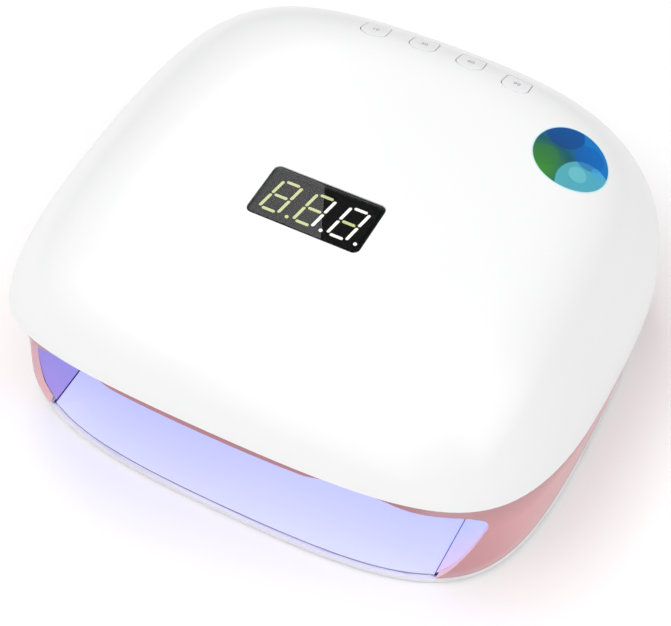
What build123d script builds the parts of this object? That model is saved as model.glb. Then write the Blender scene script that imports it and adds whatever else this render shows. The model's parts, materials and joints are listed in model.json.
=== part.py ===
"""Nail lamp: a domed shell over a flared housing, on a base plate that lifts off.

Millimetres. X is to the user's right, Y to the rear, Z up from the table.
The origin is at the middle of the whole lamp, on the table.
"""
from build123d import *
import os
from math import cos, radians, sin

UP, REAR, DOWN, FORWARD = (0, 0, 1), (0, 1, 0), (0, 0, -1), (0, -1, 0)
LEFT, RIGHT = -1, 1

# How far a cut runs past the wall it pierces, and limits that lie clear of the whole lamp.
PAST = 1.0
BEYOND = 125.0
UNDER_TABLE = -10.0

# Overall size. Every plan outline is a rounded square, widest at y = WIDEST_Y.
HALF_WIDTH = 111.0
FRONT_REACH = 100.1
REAR_REACH = 101.1
HEIGHT = 96.45
WIDEST_Y = -1.4
PLAN_POWER = 3.75
CROWN_PLAN_POWER = 2.3
QUARTER_EXTRA = 0.008

# The dome stands upright up to a height on each side, then closes over to the crown.
SIDE_UPRIGHT, FRONT_UPRIGHT, REAR_UPRIGHT = 37.3, 57.1, 48.5
SIDE_SQUARENESS, FRONT_SQUARENESS, REAR_SQUARENESS = 5.4, 5.25, 8.4
CROWN_POWER = 1.56
DOME_FOOT = 24.0
DOME_RINGS = (0.97, 0.943, 0.9, 0.835, 0.755, 0.665, 0.575, 0.48)
INNER_RINGS = (0.93, 0.8, 0.65, 0.48)
INNER_CHORDS = 9
SHELL_WALL = 2.2
BOSS_BITE = 0.4

# The parting line between shell and housing: a visor in front, low at the rear.
PARTING_FRONT = (-107.4, 69.1)
PARTING_POINTS = ((-78.0, 54.7), (-51.4, 45.5), (-26.0, 38.9), (-1.4, 35.3), (48.6, 32.1))
PARTING_REAR = (106.0, 31.0)
PARTING_GAP = 0.4

# Housing: flares from the base outline to just inside the shell's rim.
HOUSING_FOOT = 3.7
HOUSING_RINGS = (HOUSING_FOOT, 13.0, 31.0, 55.0, 69.0)
HOUSING_INNER_RINGS = (HOUSING_FOOT, 31.0, 55.0, 69.0)
HOUSING_INSET = 0.9
HOUSING_WALL = 2.2
SIDE_FLARE, FRONT_FLARE, REAR_FLARE = 2.9, 7.6, 4.2
SIDE_FLARE_TOP, FRONT_FLARE_TOP, REAR_FLARE_TOP = 34.0, 65.0, 31.0
FLARE_POWER = 1.5
FLANGE = 2.2
FLANGE_OPENING_HALF = 84.0
FLANGE_REAR_GAP = 0.5
MOUTH_REAR = -40.0
TONGUE_WALL = 1.3
TONGUE_RISE, TONGUE_ROOT = 3.0, 2.5
TONGUE_GAP = 0.35

# Base plate and what is on it.
BASE_HALF_WIDTH = 107.5
BASE_FRONT, BASE_REAR = 91.6, 95.9
BASE_POWER = 3.6
BASE_BOTTOM, BASE_TOP = 1.0, 3.4
PANEL_THICK = 1.0
PANEL_INSET, RECESS_INSET = 1.6, 1.4
PANEL_SEAT = 0.05
PANEL_SIDE_GAP, RECESS_SIDE_GAP = 0.7, 0.5
PANEL_REAR_GAP, RECESS_REAR_GAP = 0.5, 0.3
FOOT_RADIUS = 6.0
FOOT_SUNK = 0.5
INSERT_FIT = 0.1
FEET = [(x, y) for x in (-78.0, 78.0) for y in (-62.0, 70.0)]
MAGNETS = ((-91.5, -52.0), (91.5, -52.0), (-92.0, 60.0), (92.0, 60.0))
MAGNET_SIDE, MAGNET_HEIGHT = 8.0, 3.0
MAGNET_FLOOR = 1.0
MAGNET_POCKET_WALL = 1.2
PLATE_THICK = 0.8

# Hand chamber: an arch along Y with bowed side walls.
FLOOR_HALF = 80.6
FLOOR_TOP = 3.9
LINER_FOOT = 4.2
LINER_WALL = 1.2
LINER_FRONT_GAP = 2.6
CHAMBER_REAR = 72.6
ARCH_BOW = (91.85, 23.5)
ARCH_SHOULDER = (97.4, 50.2)
ARCH_HAUNCH = (76.0, 57.6)
MOUTH_SHOULDER = (96.8, 47.6)
MOUTH_HAUNCH = (76.0, 57.3)
ARCH_FLAT = 38.0
ARCH_CROWN = 62.3
ARCH_CORNER = 4.5
SHOULDER_GROWTH = 0.9
EAR_YS = (-24.0, 34.0)
EAR_REACH = (83.0, 93.0)
EAR_HALF_WIDTH, EAR_THICK = 4.0, 1.8

# Display in the crown.
WINDOW = (44.0, 23.8)
WINDOW_Y = -18.3
WINDOW_CORNER = 2.6
WINDOW_TOP = 95.65
WINDOW_THICK = 1.3
WINDOW_FIT = 0.1
WINDOW_LEDGE = (50.0, 30.0)
LEDGE_CORNER, LEDGE_THICK = 4.0, 2.4
MODULE = (40.0, 20.4)
MODULE_TOP = 94.0
MODULE_ROOM, MODULE_CORNER = 0.4, 1.0
DIGIT_HEIGHT, DIGIT_WIDTH, DIGIT_PITCH = 15.4, 8.4, 13.4
STROKE = 1.15
STROKE_GAP = 0.45
DIGIT_SLANT = 8.0
DIGIT_SHIFT = -0.6
POINT_RADIUS, POINT_OFFSET = 0.65, 1.9
LIT_THICK = 0.15

# Circuit boards.
BOARD = 1.6
LED_BOARD = 1.2
MAIN_BOARD = (92.0, 56.0)
MAIN_BOARD_TOP = 86.4
# Under the main board: radius, height and middle of each capacitor, limits and height of each block.
CAPACITORS = ((5.0, 12.0, -30.0, 12.0), (4.0, 9.0, -14.0, 14.0))
CHIP = ((-6.0, 8.0), (-6.0, 4.0), 2.4)
COIL = ((18.0, 30.0), (8.0, 20.0), 6.0)
SOCKET = ((14.0, 34.0), (-20.0, -14.0), 7.0)
BOARD_POST = 5.0
BOARD_POST_INSET = 5.0
BOARD_SEAT = 0.05

# Timer buttons on the rear slope.
BUTTON_COUNT = 4
BUTTON_MIDDLE_X = 6.2
BUTTON_PITCH = 19.9
BUTTON_Y = 75.9
BUTTON_ROW_BOW = 0.0026
BUTTON_TILT = 21.0
BUTTON_HALF_WIDTH, BUTTON_REAR, BUTTON_FRONT = 5.4, 4.5, 4.9
BUTTON_TAPER = 0.5
BUTTON_FRONT_RISE = 2.2
BUTTON_CORNER = 1.7
BUTTON_GAP = 0.35
BUTTON_PROUD = 0.3
FLANGE_LIP = 1.0
FLANGE_GAP = 0.4
FLANGE_TRAVEL_ROOM = 0.25
BUTTON_FLANGE_TOP, BUTTON_FLANGE_LOW = 3.0, 4.0
BUTTON_BOARD = (89.0, 15.0)
BUTTON_BOARD_DEPTH = 11.2
BUTTON_POST_X = 40.5
BUTTON_CUT = 8.0
STEM_BITE = 0.2
SWITCH_SIDE, SWITCH_WELL, SWITCH_WELL_FLOOR = 6.0, 3.8, 1.4
SWITCH_HEIGHT = 3.6
PLUNGER_SIDE = 3.2
PLUNGER_LOW, PLUNGER_TOP = 2.2, 4.8

# Light emitters and hand sensors.
BEAD_BASE, BEAD_LENS, BEAD_HOLE = 5.6, 4.4, 5.0
BEAD_BASE_HEIGHT, BEAD_CHAMFER = 1.4, 0.8
BEAD_PROUD = 0.8
CEILING_TIP, CEILING_BOARD_BOTTOM = 61.0, 65.9
CEILING_XS = (-45.0, -15.0, 15.0, 45.0)
CEILING_YS = (-52.0, -20.0, 12.0, 44.0)
CEILING_MARGIN_X, CEILING_MARGIN_Y = 9.0, 8.0
SIDE_BEAD_YS = (-24.0, -8.0, 8.0, 24.0)
SIDE_BOARD_MARGIN, SIDE_BOARD_HALF_HEIGHT = 6.0, 7.0
REAR_BEAD_XS = (-60.0, -30.0, 0.0, 30.0, 60.0)
REAR_BEAD_Z = 30.0
REAR_BOARD_MARGIN, REAR_BOARD_HALF_HEIGHT = 8.0, 7.0
BOARD_OFFSET = 3.6
SIDE_LEAN = 21.0
SENSOR_RADIUS, SENSOR_LENGTH = 2.3, 5.0
SENSOR_Y = -52.0
SENSOR_FLANGE, SENSOR_FLANGE_THICK = 7.0, 1.2
SENSOR_PROUD, SENSOR_GAP = 0.2, 0.3

# Power inlet.
JACK_X, JACK_Z = 34.0, 17.5
JACK_BORE, JACK_PIN, JACK_ROOT = 2.9, 1.0, 1.3
JACK_HALF_WIDTH, JACK_BELOW, JACK_ABOVE = 5.0, 6.0, 5.0
JACK_NOSE = 4.4
JACK_NOSE_GAP, NOSE_BITE = 0.15, 0.5
JACK_BACK = 4.0
JACK_FLOOR_Y, JACK_BLOCK_END, JACK_FACE_Y = 86.5, 92.4, 96.4
PIN_SHORT, PIN_CHAMFER = 0.8, 0.3
CRADLE_HALF_WIDTH, CRADLE_START = 8.0, 80.5
CRADLE_GAP_X, CRADLE_GAP_Z = 0.6, 0.1

# Screws that hold the shell on the housing's lugs.
POSTS = [(x, y) for x in (-101.0, 101.0) for y in (-38.0, 38.0)]
POST_RADIUS = 2.4
POST_GAP = 0.3
RIB_THICK, RIB_FOOT, RIB_GAP = 1.6, 8.0, 2.0
LUG_TOP, LUG_THICK = 30.0, 3.0
LUG_START, LUG_HALF_WIDTH = 98.9, 4.0
GUSSET_START, GUSSET_THICK, GUSSET_DEPTH = 103.5, 1.3, 12.0
SCREW, SCREW_LENGTH = 1.4, 12.0
SCREW_PILOT, SCREW_CLEARANCE = 0.1, 0.2
SCREW_HEAD, SCREW_HEAD_HEIGHT = 2.4, 1.7


def outline(half_width, front, rear, power, height, chords=0):
    """A closed rounded-square outline: four quarter curves, smooth where they meet.

    The power sets how square it is: each quarter's middle lies where a superellipse of that power
    has it. With chords, each quarter is that many straight runs, for walls that nobody sees.
    """
    bulge = (8 * 2 ** (-1 / power) - 4) / 3 + QUARTER_EXTRA
    quarters = []
    for side_x, side_y in ((1, 1), (-1, 1), (-1, -1), (1, -1)):
        reach = side_y * (rear if side_y > 0 else front)
        half = side_x * half_width
        points = [
            (half, WIDEST_Y, height),
            (half, WIDEST_Y + reach * bulge, height),
            (half * bulge, WIDEST_Y + reach, height),
            (0, WIDEST_Y + reach, height),
        ]
        if side_x != side_y:
            points.reverse()
        quarters.append(Edge.make_bezier(*points))
    if not chords:
        return Wire(quarters)
    corners = [quarter @ (step / chords) for quarter in quarters for step in range(chords)]
    return Wire(Polyline(*corners, close=True).edges())


def closing(height, upright, squareness, top):
    """Share of the full reach that the dome keeps at a height."""
    rise = min(max((height - upright) / (top - upright), 0.0), 1.0)
    return (1 - rise**CROWN_POWER) ** (1 / squareness)


def dome_reach(height, inset=0.0):
    """Half width, front reach, rear reach and plan power of the dome at a height."""
    top = HEIGHT - inset
    side = closing(height, SIDE_UPRIGHT, SIDE_SQUARENESS, top)
    front = closing(height, FRONT_UPRIGHT, FRONT_SQUARENESS, top)
    rear = closing(height, REAR_UPRIGHT, REAR_SQUARENESS, top)
    power = CROWN_PLAN_POWER + (PLAN_POWER - CROWN_PLAN_POWER) * side
    return (
        HALF_WIDTH * side - inset,
        FRONT_REACH * front - inset,
        REAR_REACH * rear - inset,
        power,
    )


def dome_height(x, y):
    """Height of the dome's outer surface over a point of the plan, found by halving."""
    low, high = DOME_FOOT, HEIGHT
    for _ in range(40):
        middle = (low + high) / 2
        half, front, rear, power = dome_reach(middle)
        reach = rear if y > WIDEST_Y else front
        outside = abs(x / half) ** power + abs((y - WIDEST_Y) / reach) ** power > 1
        low, high = (low, middle) if outside else (middle, high)
    return (low + high) / 2


def dome(inset=0.0, foot=DOME_FOOT, rings=DOME_RINGS, chords=0):
    """The solid inside the dome's surface, drawn in by an inset.

    The rings are given as shares of the full half width, from the upright wall to the crown.
    """
    top = HEIGHT - inset
    heights = [foot, SIDE_UPRIGHT]
    for share in rings:
        rise = (1 - share**SIDE_SQUARENESS) ** (1 / CROWN_POWER)
        heights.append(SIDE_UPRIGHT + (top - SIDE_UPRIGHT) * rise)
    return Solid.make_loft([outline(*dome_reach(h, inset), h, chords) for h in heights], ruled=True)


def dome_inside(inset, foot=DOME_FOOT):
    """The same solid with a plainer surface, for the hidden side of the shell."""
    return dome(inset, foot, INNER_RINGS, INNER_CHORDS)


def housing_reach(height, inset):
    """Half width, front reach, rear reach and plan power of the flared housing at a height."""
    half, front, rear, power = dome_reach(height)

    def drawn_in(flare, flare_top):
        left = max(1 - (height - HOUSING_FOOT) / (flare_top - HOUSING_FOOT), 0.0)
        return HOUSING_INSET + inset + flare * left**FLARE_POWER

    return (
        half - drawn_in(SIDE_FLARE, SIDE_FLARE_TOP),
        front - drawn_in(FRONT_FLARE, FRONT_FLARE_TOP),
        rear - drawn_in(REAR_FLARE, REAR_FLARE_TOP),
        power,
    )


def housing_body(inset=0.0, heights=HOUSING_RINGS, chords=0):
    """The solid inside the housing's outer surface, drawn in by an inset."""
    return Solid.make_loft([outline(*housing_reach(h, inset), h, chords) for h in heights], ruled=True)


def housing_inside(inset):
    """The same solid with a plainer surface, for the hidden side of the housing."""
    return housing_body(inset, HOUSING_INNER_RINGS, INNER_CHORDS)


def under_parting(lift):
    """Everything under the parting surface, raised by a lift."""
    points = [(-BEYOND, y, z + lift) for y, z in (PARTING_FRONT, *PARTING_POINTS, PARTING_REAR)]
    first, last = points[0], points[-1]
    low_first, low_last = (-BEYOND, first[1], UNDER_TABLE), (-BEYOND, last[1], UNDER_TABLE)
    sides = Polyline(last, low_last, low_first, first).edges()
    return extrude(Face(Wire([Edge.make_spline(points), *sides])), amount=2 * BEYOND, dir=(1, 0, 0))


def arch(grow, start_y, end_y, foot, low_shoulder=ARCH_SHOULDER, low_haunch=ARCH_HAUNCH):
    """The hand chamber's arched section, grown outwards, as a prism along Y.

    The side walls are arcs through the bow, and arcs through the haunches join them to the flat
    ceiling. The corners between the two are rounded.
    """
    foot_x = FLOOR_HALF + grow
    bow = (ARCH_BOW[0] + grow * cos(radians(SIDE_LEAN)), ARCH_BOW[1] - grow * sin(radians(SIDE_LEAN)))
    shoulder = (low_shoulder[0] + grow, low_shoulder[1] + grow * SHOULDER_GROWTH)
    haunch = (low_haunch[0], low_haunch[1] + grow)
    flat = (ARCH_FLAT, ARCH_CROWN + grow)

    def at(point, side=RIGHT):
        return (side * point[0], start_y, point[1])

    foot_corner, sill = (foot_x, foot), (foot_x, FLOOR_TOP)
    lines = [
        Line(at(foot_corner, LEFT), at(foot_corner)),
        Line(at(foot_corner), at(sill)),
        ThreePointArc(at(sill), at(bow), at(shoulder)),
        ThreePointArc(at(shoulder), at(haunch), at(flat)),
        Line(at(flat), at(flat, LEFT)),
        ThreePointArc(at(flat, LEFT), at(haunch, LEFT), at(shoulder, LEFT)),
        ThreePointArc(at(shoulder, LEFT), at(bow, LEFT), at(sill, LEFT)),
        Line(at(sill, LEFT), at(foot_corner, LEFT)),
    ]
    section = Sketch() + Face(Wire([edge for line in lines for edge in line.edges()]))
    shoulders = [vertex for vertex in section.vertices() if abs(vertex.Z - shoulder[1]) < 0.5]
    return extrude(fillet(shoulders, ARCH_CORNER + grow), amount=end_y - start_y, dir=REAR)


def plan_slab(inset, bottom, top):
    """A flat slab with the base plate's outline, drawn in by an inset."""
    reaches = (BASE_HALF_WIDTH - inset, BASE_FRONT - inset, BASE_REAR - inset)
    return extrude(Face(outline(*reaches, BASE_POWER, bottom)), amount=top - bottom, dir=UP)


def box(x, y, z):
    """A box from its two limits along each axis, in either order."""
    size = [abs(second - first) for first, second in (x, y, z)]
    middle = [(first + second) / 2 for first, second in (x, y, z)]
    return Pos(*middle) * Box(*size)


def rod(radius, start, length, axis=UP):
    """A round rod from a start point along an axis."""
    return extrude(Plane(origin=start, z_dir=axis) * Circle(radius), amount=length)


def square_rod(width, start, length, axis=UP):
    """A square rod from a start point along an axis, with two sides along Y or X."""
    side = REAR if abs(axis[0]) > abs(axis[1]) else (1, 0, 0)
    return extrude(Plane(origin=start, x_dir=side, z_dir=axis) * Rectangle(width, width), amount=length)


def group(solids):
    """Separate solids kept together in one node."""
    return Compound(children=[s for item in solids for s in item.solids()])


def display_slab(size, corner, bottom, thick):
    """A flat slab at the display's place, with rounded corners."""
    return extrude(Pos(0, WINDOW_Y, bottom) * RectangleRounded(*size, corner), amount=thick)


BUTTON_AXIS = Vector(0, sin(radians(BUTTON_TILT)), cos(radians(BUTTON_TILT)))


def button_places():
    """The point of the dome's surface at the middle of each button."""
    places = []
    for index in range(BUTTON_COUNT):
        x = BUTTON_MIDDLE_X + (index - (BUTTON_COUNT - 1) / 2) * BUTTON_PITCH
        y = BUTTON_Y - BUTTON_ROW_BOW * x * x
        places.append(Vector(x, y, dome_height(x, y)))
    return places


def button_plane(place, depth):
    """A plane square to the buttons' travel, at a depth under the surface or above it."""
    return Plane(origin=place + BUTTON_AXIS * depth, x_dir=(1, 0, 0), z_dir=BUTTON_AXIS)


def button_prism(place, grow, low, high):
    """A button's outline, grown, as a prism along the button axis between two depths."""
    half, rear, front = BUTTON_HALF_WIDTH + grow, BUTTON_REAR + grow, BUTTON_FRONT + grow
    shoulder_x, shoulder_y = half - BUTTON_TAPER, BUTTON_FRONT_RISE - front
    lines = [
        Line((-half, shoulder_y), (-shoulder_x, rear)),
        Line((-shoulder_x, rear), (shoulder_x, rear)),
        Line((shoulder_x, rear), (half, shoulder_y)),
        ThreePointArc((half, shoulder_y), (0, -front), (-half, shoulder_y)),
    ]
    face = Sketch() + Face(Wire([edge for line in lines for edge in line.edges()]))
    face = fillet(face.vertices(), BUTTON_CORNER + grow)
    return extrude(button_plane(place, low) * face, amount=high - low, dir=tuple(BUTTON_AXIS))


def button_flange(place, grow, low, high):
    """The rectangle of a cap's flange, grown, as a prism between two depths."""
    lip = FLANGE_LIP + grow
    size = (2 * (BUTTON_HALF_WIDTH + lip), BUTTON_FRONT + BUTTON_REAR + 2 * lip)
    return extrude(button_plane(place, low) * Rectangle(*size), amount=high - low)


def button_board_middle():
    """A point level with the buttons' surface, over the middle of their board."""
    level = button_places()[1]
    return Vector(BUTTON_MIDDLE_X, level.Y, level.Z)


def main_board_corners():
    """Where the main board meets its bosses."""
    x, y = MAIN_BOARD[0] / 2 - BOARD_POST_INSET, MAIN_BOARD[1] / 2 - BOARD_POST_INSET
    return [(i * x, WINDOW_Y + j * y) for i in (-1, 1) for j in (-1, 1)]


def side_frame(side, y, out):
    """A point outside the bowed side wall, and the wall's inward direction there."""
    inward = Vector(-side * cos(radians(SIDE_LEAN)), 0, sin(radians(SIDE_LEAN)))
    bow = Vector(side * ARCH_BOW[0], y, ARCH_BOW[1])
    return bow - inward * out, inward


def bead(tip, axis, length):
    """One light emitter: a square package with a narrower lens that ends at the tip."""
    seat = Vector(*tip) - Vector(*axis) * length
    lens = square_rod(BEAD_LENS, seat, length, axis)
    crown = lens.faces().sort_by(lambda face: (face.center() - Vector(*tip)).length)[0]
    return square_rod(BEAD_BASE, seat, BEAD_BASE_HEIGHT, axis) + chamfer(crown.edges(), BEAD_CHAMFER)


def make_top_shell():
    """The domed cover: a thin wall with a display ledge, bosses, button pockets and screw posts."""
    shell = dome() - dome_inside(SHELL_WALL, DOME_FOOT - PAST) - under_parting(0)
    inside = dome_inside(SHELL_WALL - BOSS_BITE)
    # a ledge round the display window, and the window's pocket in it
    window_bottom = WINDOW_TOP - WINDOW_THICK
    shell += display_slab(WINDOW_LEDGE, LEDGE_CORNER, window_bottom - LEDGE_THICK, LEDGE_THICK) & inside
    pocket = (WINDOW[0] + 2 * WINDOW_FIT, WINDOW[1] + 2 * WINDOW_FIT)
    shell -= display_slab(pocket, WINDOW_CORNER, window_bottom, WINDOW_THICK + PAST)
    module_hole = (MODULE[0] + 2 * MODULE_ROOM, MODULE[1] + 2 * MODULE_ROOM)
    shell -= display_slab(module_hole, MODULE_CORNER, MAIN_BOARD_TOP, HEIGHT - MAIN_BOARD_TOP)
    # four posts over the housing's lugs, joined to the wall by a rib
    for x, y in POSTS:
        post = rod(POST_RADIUS, (x, y, LUG_TOP + POST_GAP), HEIGHT)
        wall_x = HALF_WIDTH if x > 0 else -HALF_WIDTH
        rib_y = (y - RIB_THICK / 2, y + RIB_THICK / 2)
        rib = box((x, wall_x), rib_y, (LUG_TOP + RIB_FOOT, HEIGHT))
        rib -= under_parting(TONGUE_RISE + RIB_GAP)
        shell += (post + rib) & inside
        shell -= rod(SCREW + SCREW_PILOT, (x, y, LUG_TOP), SCREW_LENGTH + PAST)
    # four bosses that carry the main board, and two that carry the button board
    for x, y in main_board_corners():
        start = (x, y, MAIN_BOARD_TOP + BOARD_SEAT)
        shell += square_rod(BOARD_POST, start, HEIGHT - MAIN_BOARD_TOP) & inside
    for side in (LEFT, RIGHT):
        level = button_board_middle() + Vector(side * BUTTON_POST_X, 0, 0)
        start = level - BUTTON_AXIS * (BUTTON_BOARD_DEPTH - BOARD_SEAT)
        shell += square_rod(BOARD_POST, start, BUTTON_BOARD_DEPTH + 2, tuple(BUTTON_AXIS)) & inside
    # each button's hole, and the pocket behind it for the cap's flange
    for place in button_places():
        shell -= button_prism(place, BUTTON_GAP, -BUTTON_CUT, BUTTON_CUT)
        shell -= button_flange(place, FLANGE_GAP, -BUTTON_CUT - PAST, FLANGE_TRAVEL_ROOM - BUTTON_FLANGE_TOP)
    return shell


def make_lower_housing():
    """The flared ring under the shell: open to the hand chamber in front, with a tongue on top."""
    flange_top = HOUSING_FOOT + FLANGE
    over_flange = box((-BEYOND, BEYOND), (-BEYOND, BEYOND), (flange_top, HEIGHT))
    housing = housing_body() - (housing_inside(HOUSING_WALL) & over_flange)
    opening_x = (-FLANGE_OPENING_HALF, FLANGE_OPENING_HALF)
    opening_y = (-BEYOND, CHAMBER_REAR + LINER_WALL + FLANGE_REAR_GAP)
    housing -= box(opening_x, opening_y, (0, flange_top + PAST))
    # the mouth, whose shoulders are a little lower than the liner's behind it
    housing -= arch(0, -BEYOND, MOUTH_REAR, UNDER_TABLE, MOUTH_SHOULDER, MOUTH_HAUNCH)
    housing &= under_parting(-PARTING_GAP)
    # a tongue that stands up inside the shell's rim
    tongue = dome_inside(SHELL_WALL + TONGUE_GAP)
    tongue -= dome_inside(SHELL_WALL + TONGUE_GAP + TONGUE_WALL, DOME_FOOT - PAST)
    housing += tongue & (under_parting(TONGUE_RISE) - under_parting(-TONGUE_ROOT))
    # lugs that take the shell's screws, and holes in the flange to reach them
    within = housing_inside(HOUSING_WALL / 2)
    for x, y in POSTS:
        side = RIGHT if x > 0 else LEFT
        wall_x = side * HALF_WIDTH
        front, rear = y - LUG_HALF_WIDTH, y + LUG_HALF_WIDTH
        lug = box((side * LUG_START, wall_x), (front, rear), (LUG_TOP - LUG_THICK, LUG_TOP))
        gusset_y = (front, front + GUSSET_THICK)
        gusset = box((side * GUSSET_START, wall_x), gusset_y, (LUG_TOP - GUSSET_DEPTH, LUG_TOP))
        housing += (lug + gusset) & within
        housing -= rod(SCREW + SCREW_CLEARANCE, (x, y, LUG_TOP - LUG_THICK - PAST), LUG_THICK + 2 * PAST)
        housing -= rod(SCREW_HEAD + SCREW_CLEARANCE, (x, y, 0), flange_top + PAST)
    # pockets for the magnets
    for x, y in MAGNETS:
        floor = (x, y, HOUSING_FOOT + MAGNET_FLOOR)
        housing += square_rod(MAGNET_SIDE + 2 * MAGNET_POCKET_WALL, floor, MAGNET_HEIGHT + 1) & within
        housing -= square_rod(MAGNET_SIDE + INSERT_FIT, floor, MAGNET_HEIGHT + 1 + PAST)
    # cradle and wall hole of the power inlet
    cradle_x = (JACK_X - CRADLE_HALF_WIDTH, JACK_X + CRADLE_HALF_WIDTH)
    bed_half = JACK_HALF_WIDTH + CRADLE_GAP_X
    bed_x, bed_floor = (JACK_X - bed_half, JACK_X + bed_half), JACK_Z - JACK_BELOW - CRADLE_GAP_Z
    cradle = box(cradle_x, (CRADLE_START, BEYOND), (HOUSING_FOOT, JACK_Z))
    cradle -= box(bed_x, (CRADLE_START - PAST, BEYOND), (bed_floor, JACK_Z + PAST))
    housing += cradle & within
    nose_start = (JACK_X, JACK_BLOCK_END, JACK_Z)
    housing -= rod(JACK_NOSE + JACK_NOSE_GAP, nose_start, REAR_REACH - JACK_BLOCK_END, REAR)
    return housing


def make_chamber_liner():
    """The bright walls and ceiling of the hand chamber, pierced for the emitters and sensors."""
    outer = arch(LINER_WALL, -FRONT_REACH, CHAMBER_REAR + LINER_WALL, LINER_FOOT)
    liner = outer - arch(0, -BEYOND, CHAMBER_REAR, UNDER_TABLE)
    liner &= housing_inside(HOUSING_WALL + LINER_FRONT_GAP)
    # ears that rest on the housing's flange
    ear_foot = HOUSING_FOOT + FLANGE + BOARD_SEAT
    chamber = arch(LINER_WALL / 2, -BEYOND, BEYOND, UNDER_TABLE)
    for side in (LEFT, RIGHT):
        reach = (side * EAR_REACH[0], side * EAR_REACH[1])
        for y in EAR_YS:
            ear = box(reach, (y - EAR_HALF_WIDTH, y + EAR_HALF_WIDTH), (ear_foot, ear_foot + EAR_THICK))
            liner += ear - chamber
    # openings for the emitters and the hand sensors
    wall_cut = LINER_WALL + 2 * PAST
    for x in CEILING_XS:
        for y in CEILING_YS:
            liner -= square_rod(BEAD_HOLE, (x, y, CEILING_TIP - PAST), 4 * PAST + LINER_WALL)
    for x in REAR_BEAD_XS:
        liner -= square_rod(BEAD_HOLE, (x, CHAMBER_REAR - PAST, REAR_BEAD_Z), wall_cut, REAR)
    for side in (LEFT, RIGHT):
        for y in SIDE_BEAD_YS:
            start, inward = side_frame(side, y, LINER_WALL + PAST)
            liner -= square_rod(BEAD_HOLE, start, wall_cut, tuple(inward))
        start, inward = side_frame(side, SENSOR_Y, LINER_WALL + PAST)
        liner -= rod(SENSOR_RADIUS + SENSOR_GAP, start, wall_cut, inward)
    return liner


def make_beads():
    """The emitters, which look into the chamber from its ceiling, its rear and both sides."""
    length = CEILING_BOARD_BOTTOM - CEILING_TIP
    ceiling = [bead((x, y, CEILING_TIP), DOWN, length) for x in CEILING_XS for y in CEILING_YS]
    rear_length = BOARD_OFFSET + BEAD_PROUD
    rear = [bead((x, CHAMBER_REAR - BEAD_PROUD, REAR_BEAD_Z), FORWARD, rear_length) for x in REAR_BEAD_XS]
    nodes = {"led_beads_ceiling": group(ceiling), "led_beads_rear": group(rear)}
    for side, name in ((LEFT, "led_beads_left"), (RIGHT, "led_beads_right")):
        beads = []
        for y in SIDE_BEAD_YS:
            tip, inward = side_frame(side, y, -BEAD_PROUD)
            beads.append(bead(tip, tuple(inward), rear_length))
        nodes[name] = group(beads)
    return nodes


def make_sensor(side):
    """A round sensor that looks through the side wall near the mouth, on its own small board."""
    tip, inward = side_frame(side, SENSOR_Y, SENSOR_PROUD)
    seat = tip - inward * SENSOR_LENGTH
    barrel = rod(SENSOR_RADIUS, seat, SENSOR_LENGTH, inward)
    return barrel + square_rod(SENSOR_FLANGE, seat, SENSOR_FLANGE_THICK, tuple(inward))


def make_base():
    """The plate that the lamp stands on: its floor panel, feet and the steel that magnets hold."""
    plate = plan_slab(0, BASE_BOTTOM, BASE_TOP)
    panel_bottom = FLOOR_TOP - PANEL_THICK
    panel = plan_slab(PANEL_INSET, panel_bottom, FLOOR_TOP)
    panel_half, recess_half = FLOOR_HALF - PANEL_SIDE_GAP, FLOOR_HALF - RECESS_SIDE_GAP
    panel &= box((-panel_half, panel_half), (-BEYOND, CHAMBER_REAR - PANEL_REAR_GAP), (0, HEIGHT))
    recess = plan_slab(RECESS_INSET, panel_bottom - PANEL_SEAT, FLOOR_TOP)
    recess &= box((-recess_half, recess_half), (-BEYOND, CHAMBER_REAR - RECESS_REAR_GAP), (0, HEIGHT))
    plate -= recess
    feet, steel = [], []
    for x, y in FEET:
        plate -= rod(FOOT_RADIUS + INSERT_FIT, (x, y, 0), BASE_BOTTOM + FOOT_SUNK)
        feet.append(rod(FOOT_RADIUS, (x, y, 0), BASE_BOTTOM + FOOT_SUNK))
    for x, y in MAGNETS:
        pocket_floor = (x, y, BASE_TOP - PLATE_THICK)
        plate -= square_rod(MAGNET_SIDE + INSERT_FIT, pocket_floor, PLATE_THICK + PAST)
        steel.append(square_rod(MAGNET_SIDE, pocket_floor, PLATE_THICK))
    return {
        "base_plate": plate,
        "floor_reflector": panel,
        "rubber_feet": group(feet),
        "steel_plates": group(steel),
    }


def segment(length, upright):
    """One lit bar of a digit: a flat hexagon, leaning with the digit when it is upright."""
    tip, half = STROKE / 2, length / 2
    shoulder = half - tip
    points = [(-half, 0), (-shoulder, tip), (shoulder, tip), (half, 0), (shoulder, -tip), (-shoulder, -tip)]
    bar = make_face(Polyline(*points, close=True))
    return bar.rotate(Axis.Z, 90 - DIGIT_SLANT) if upright else bar


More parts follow.
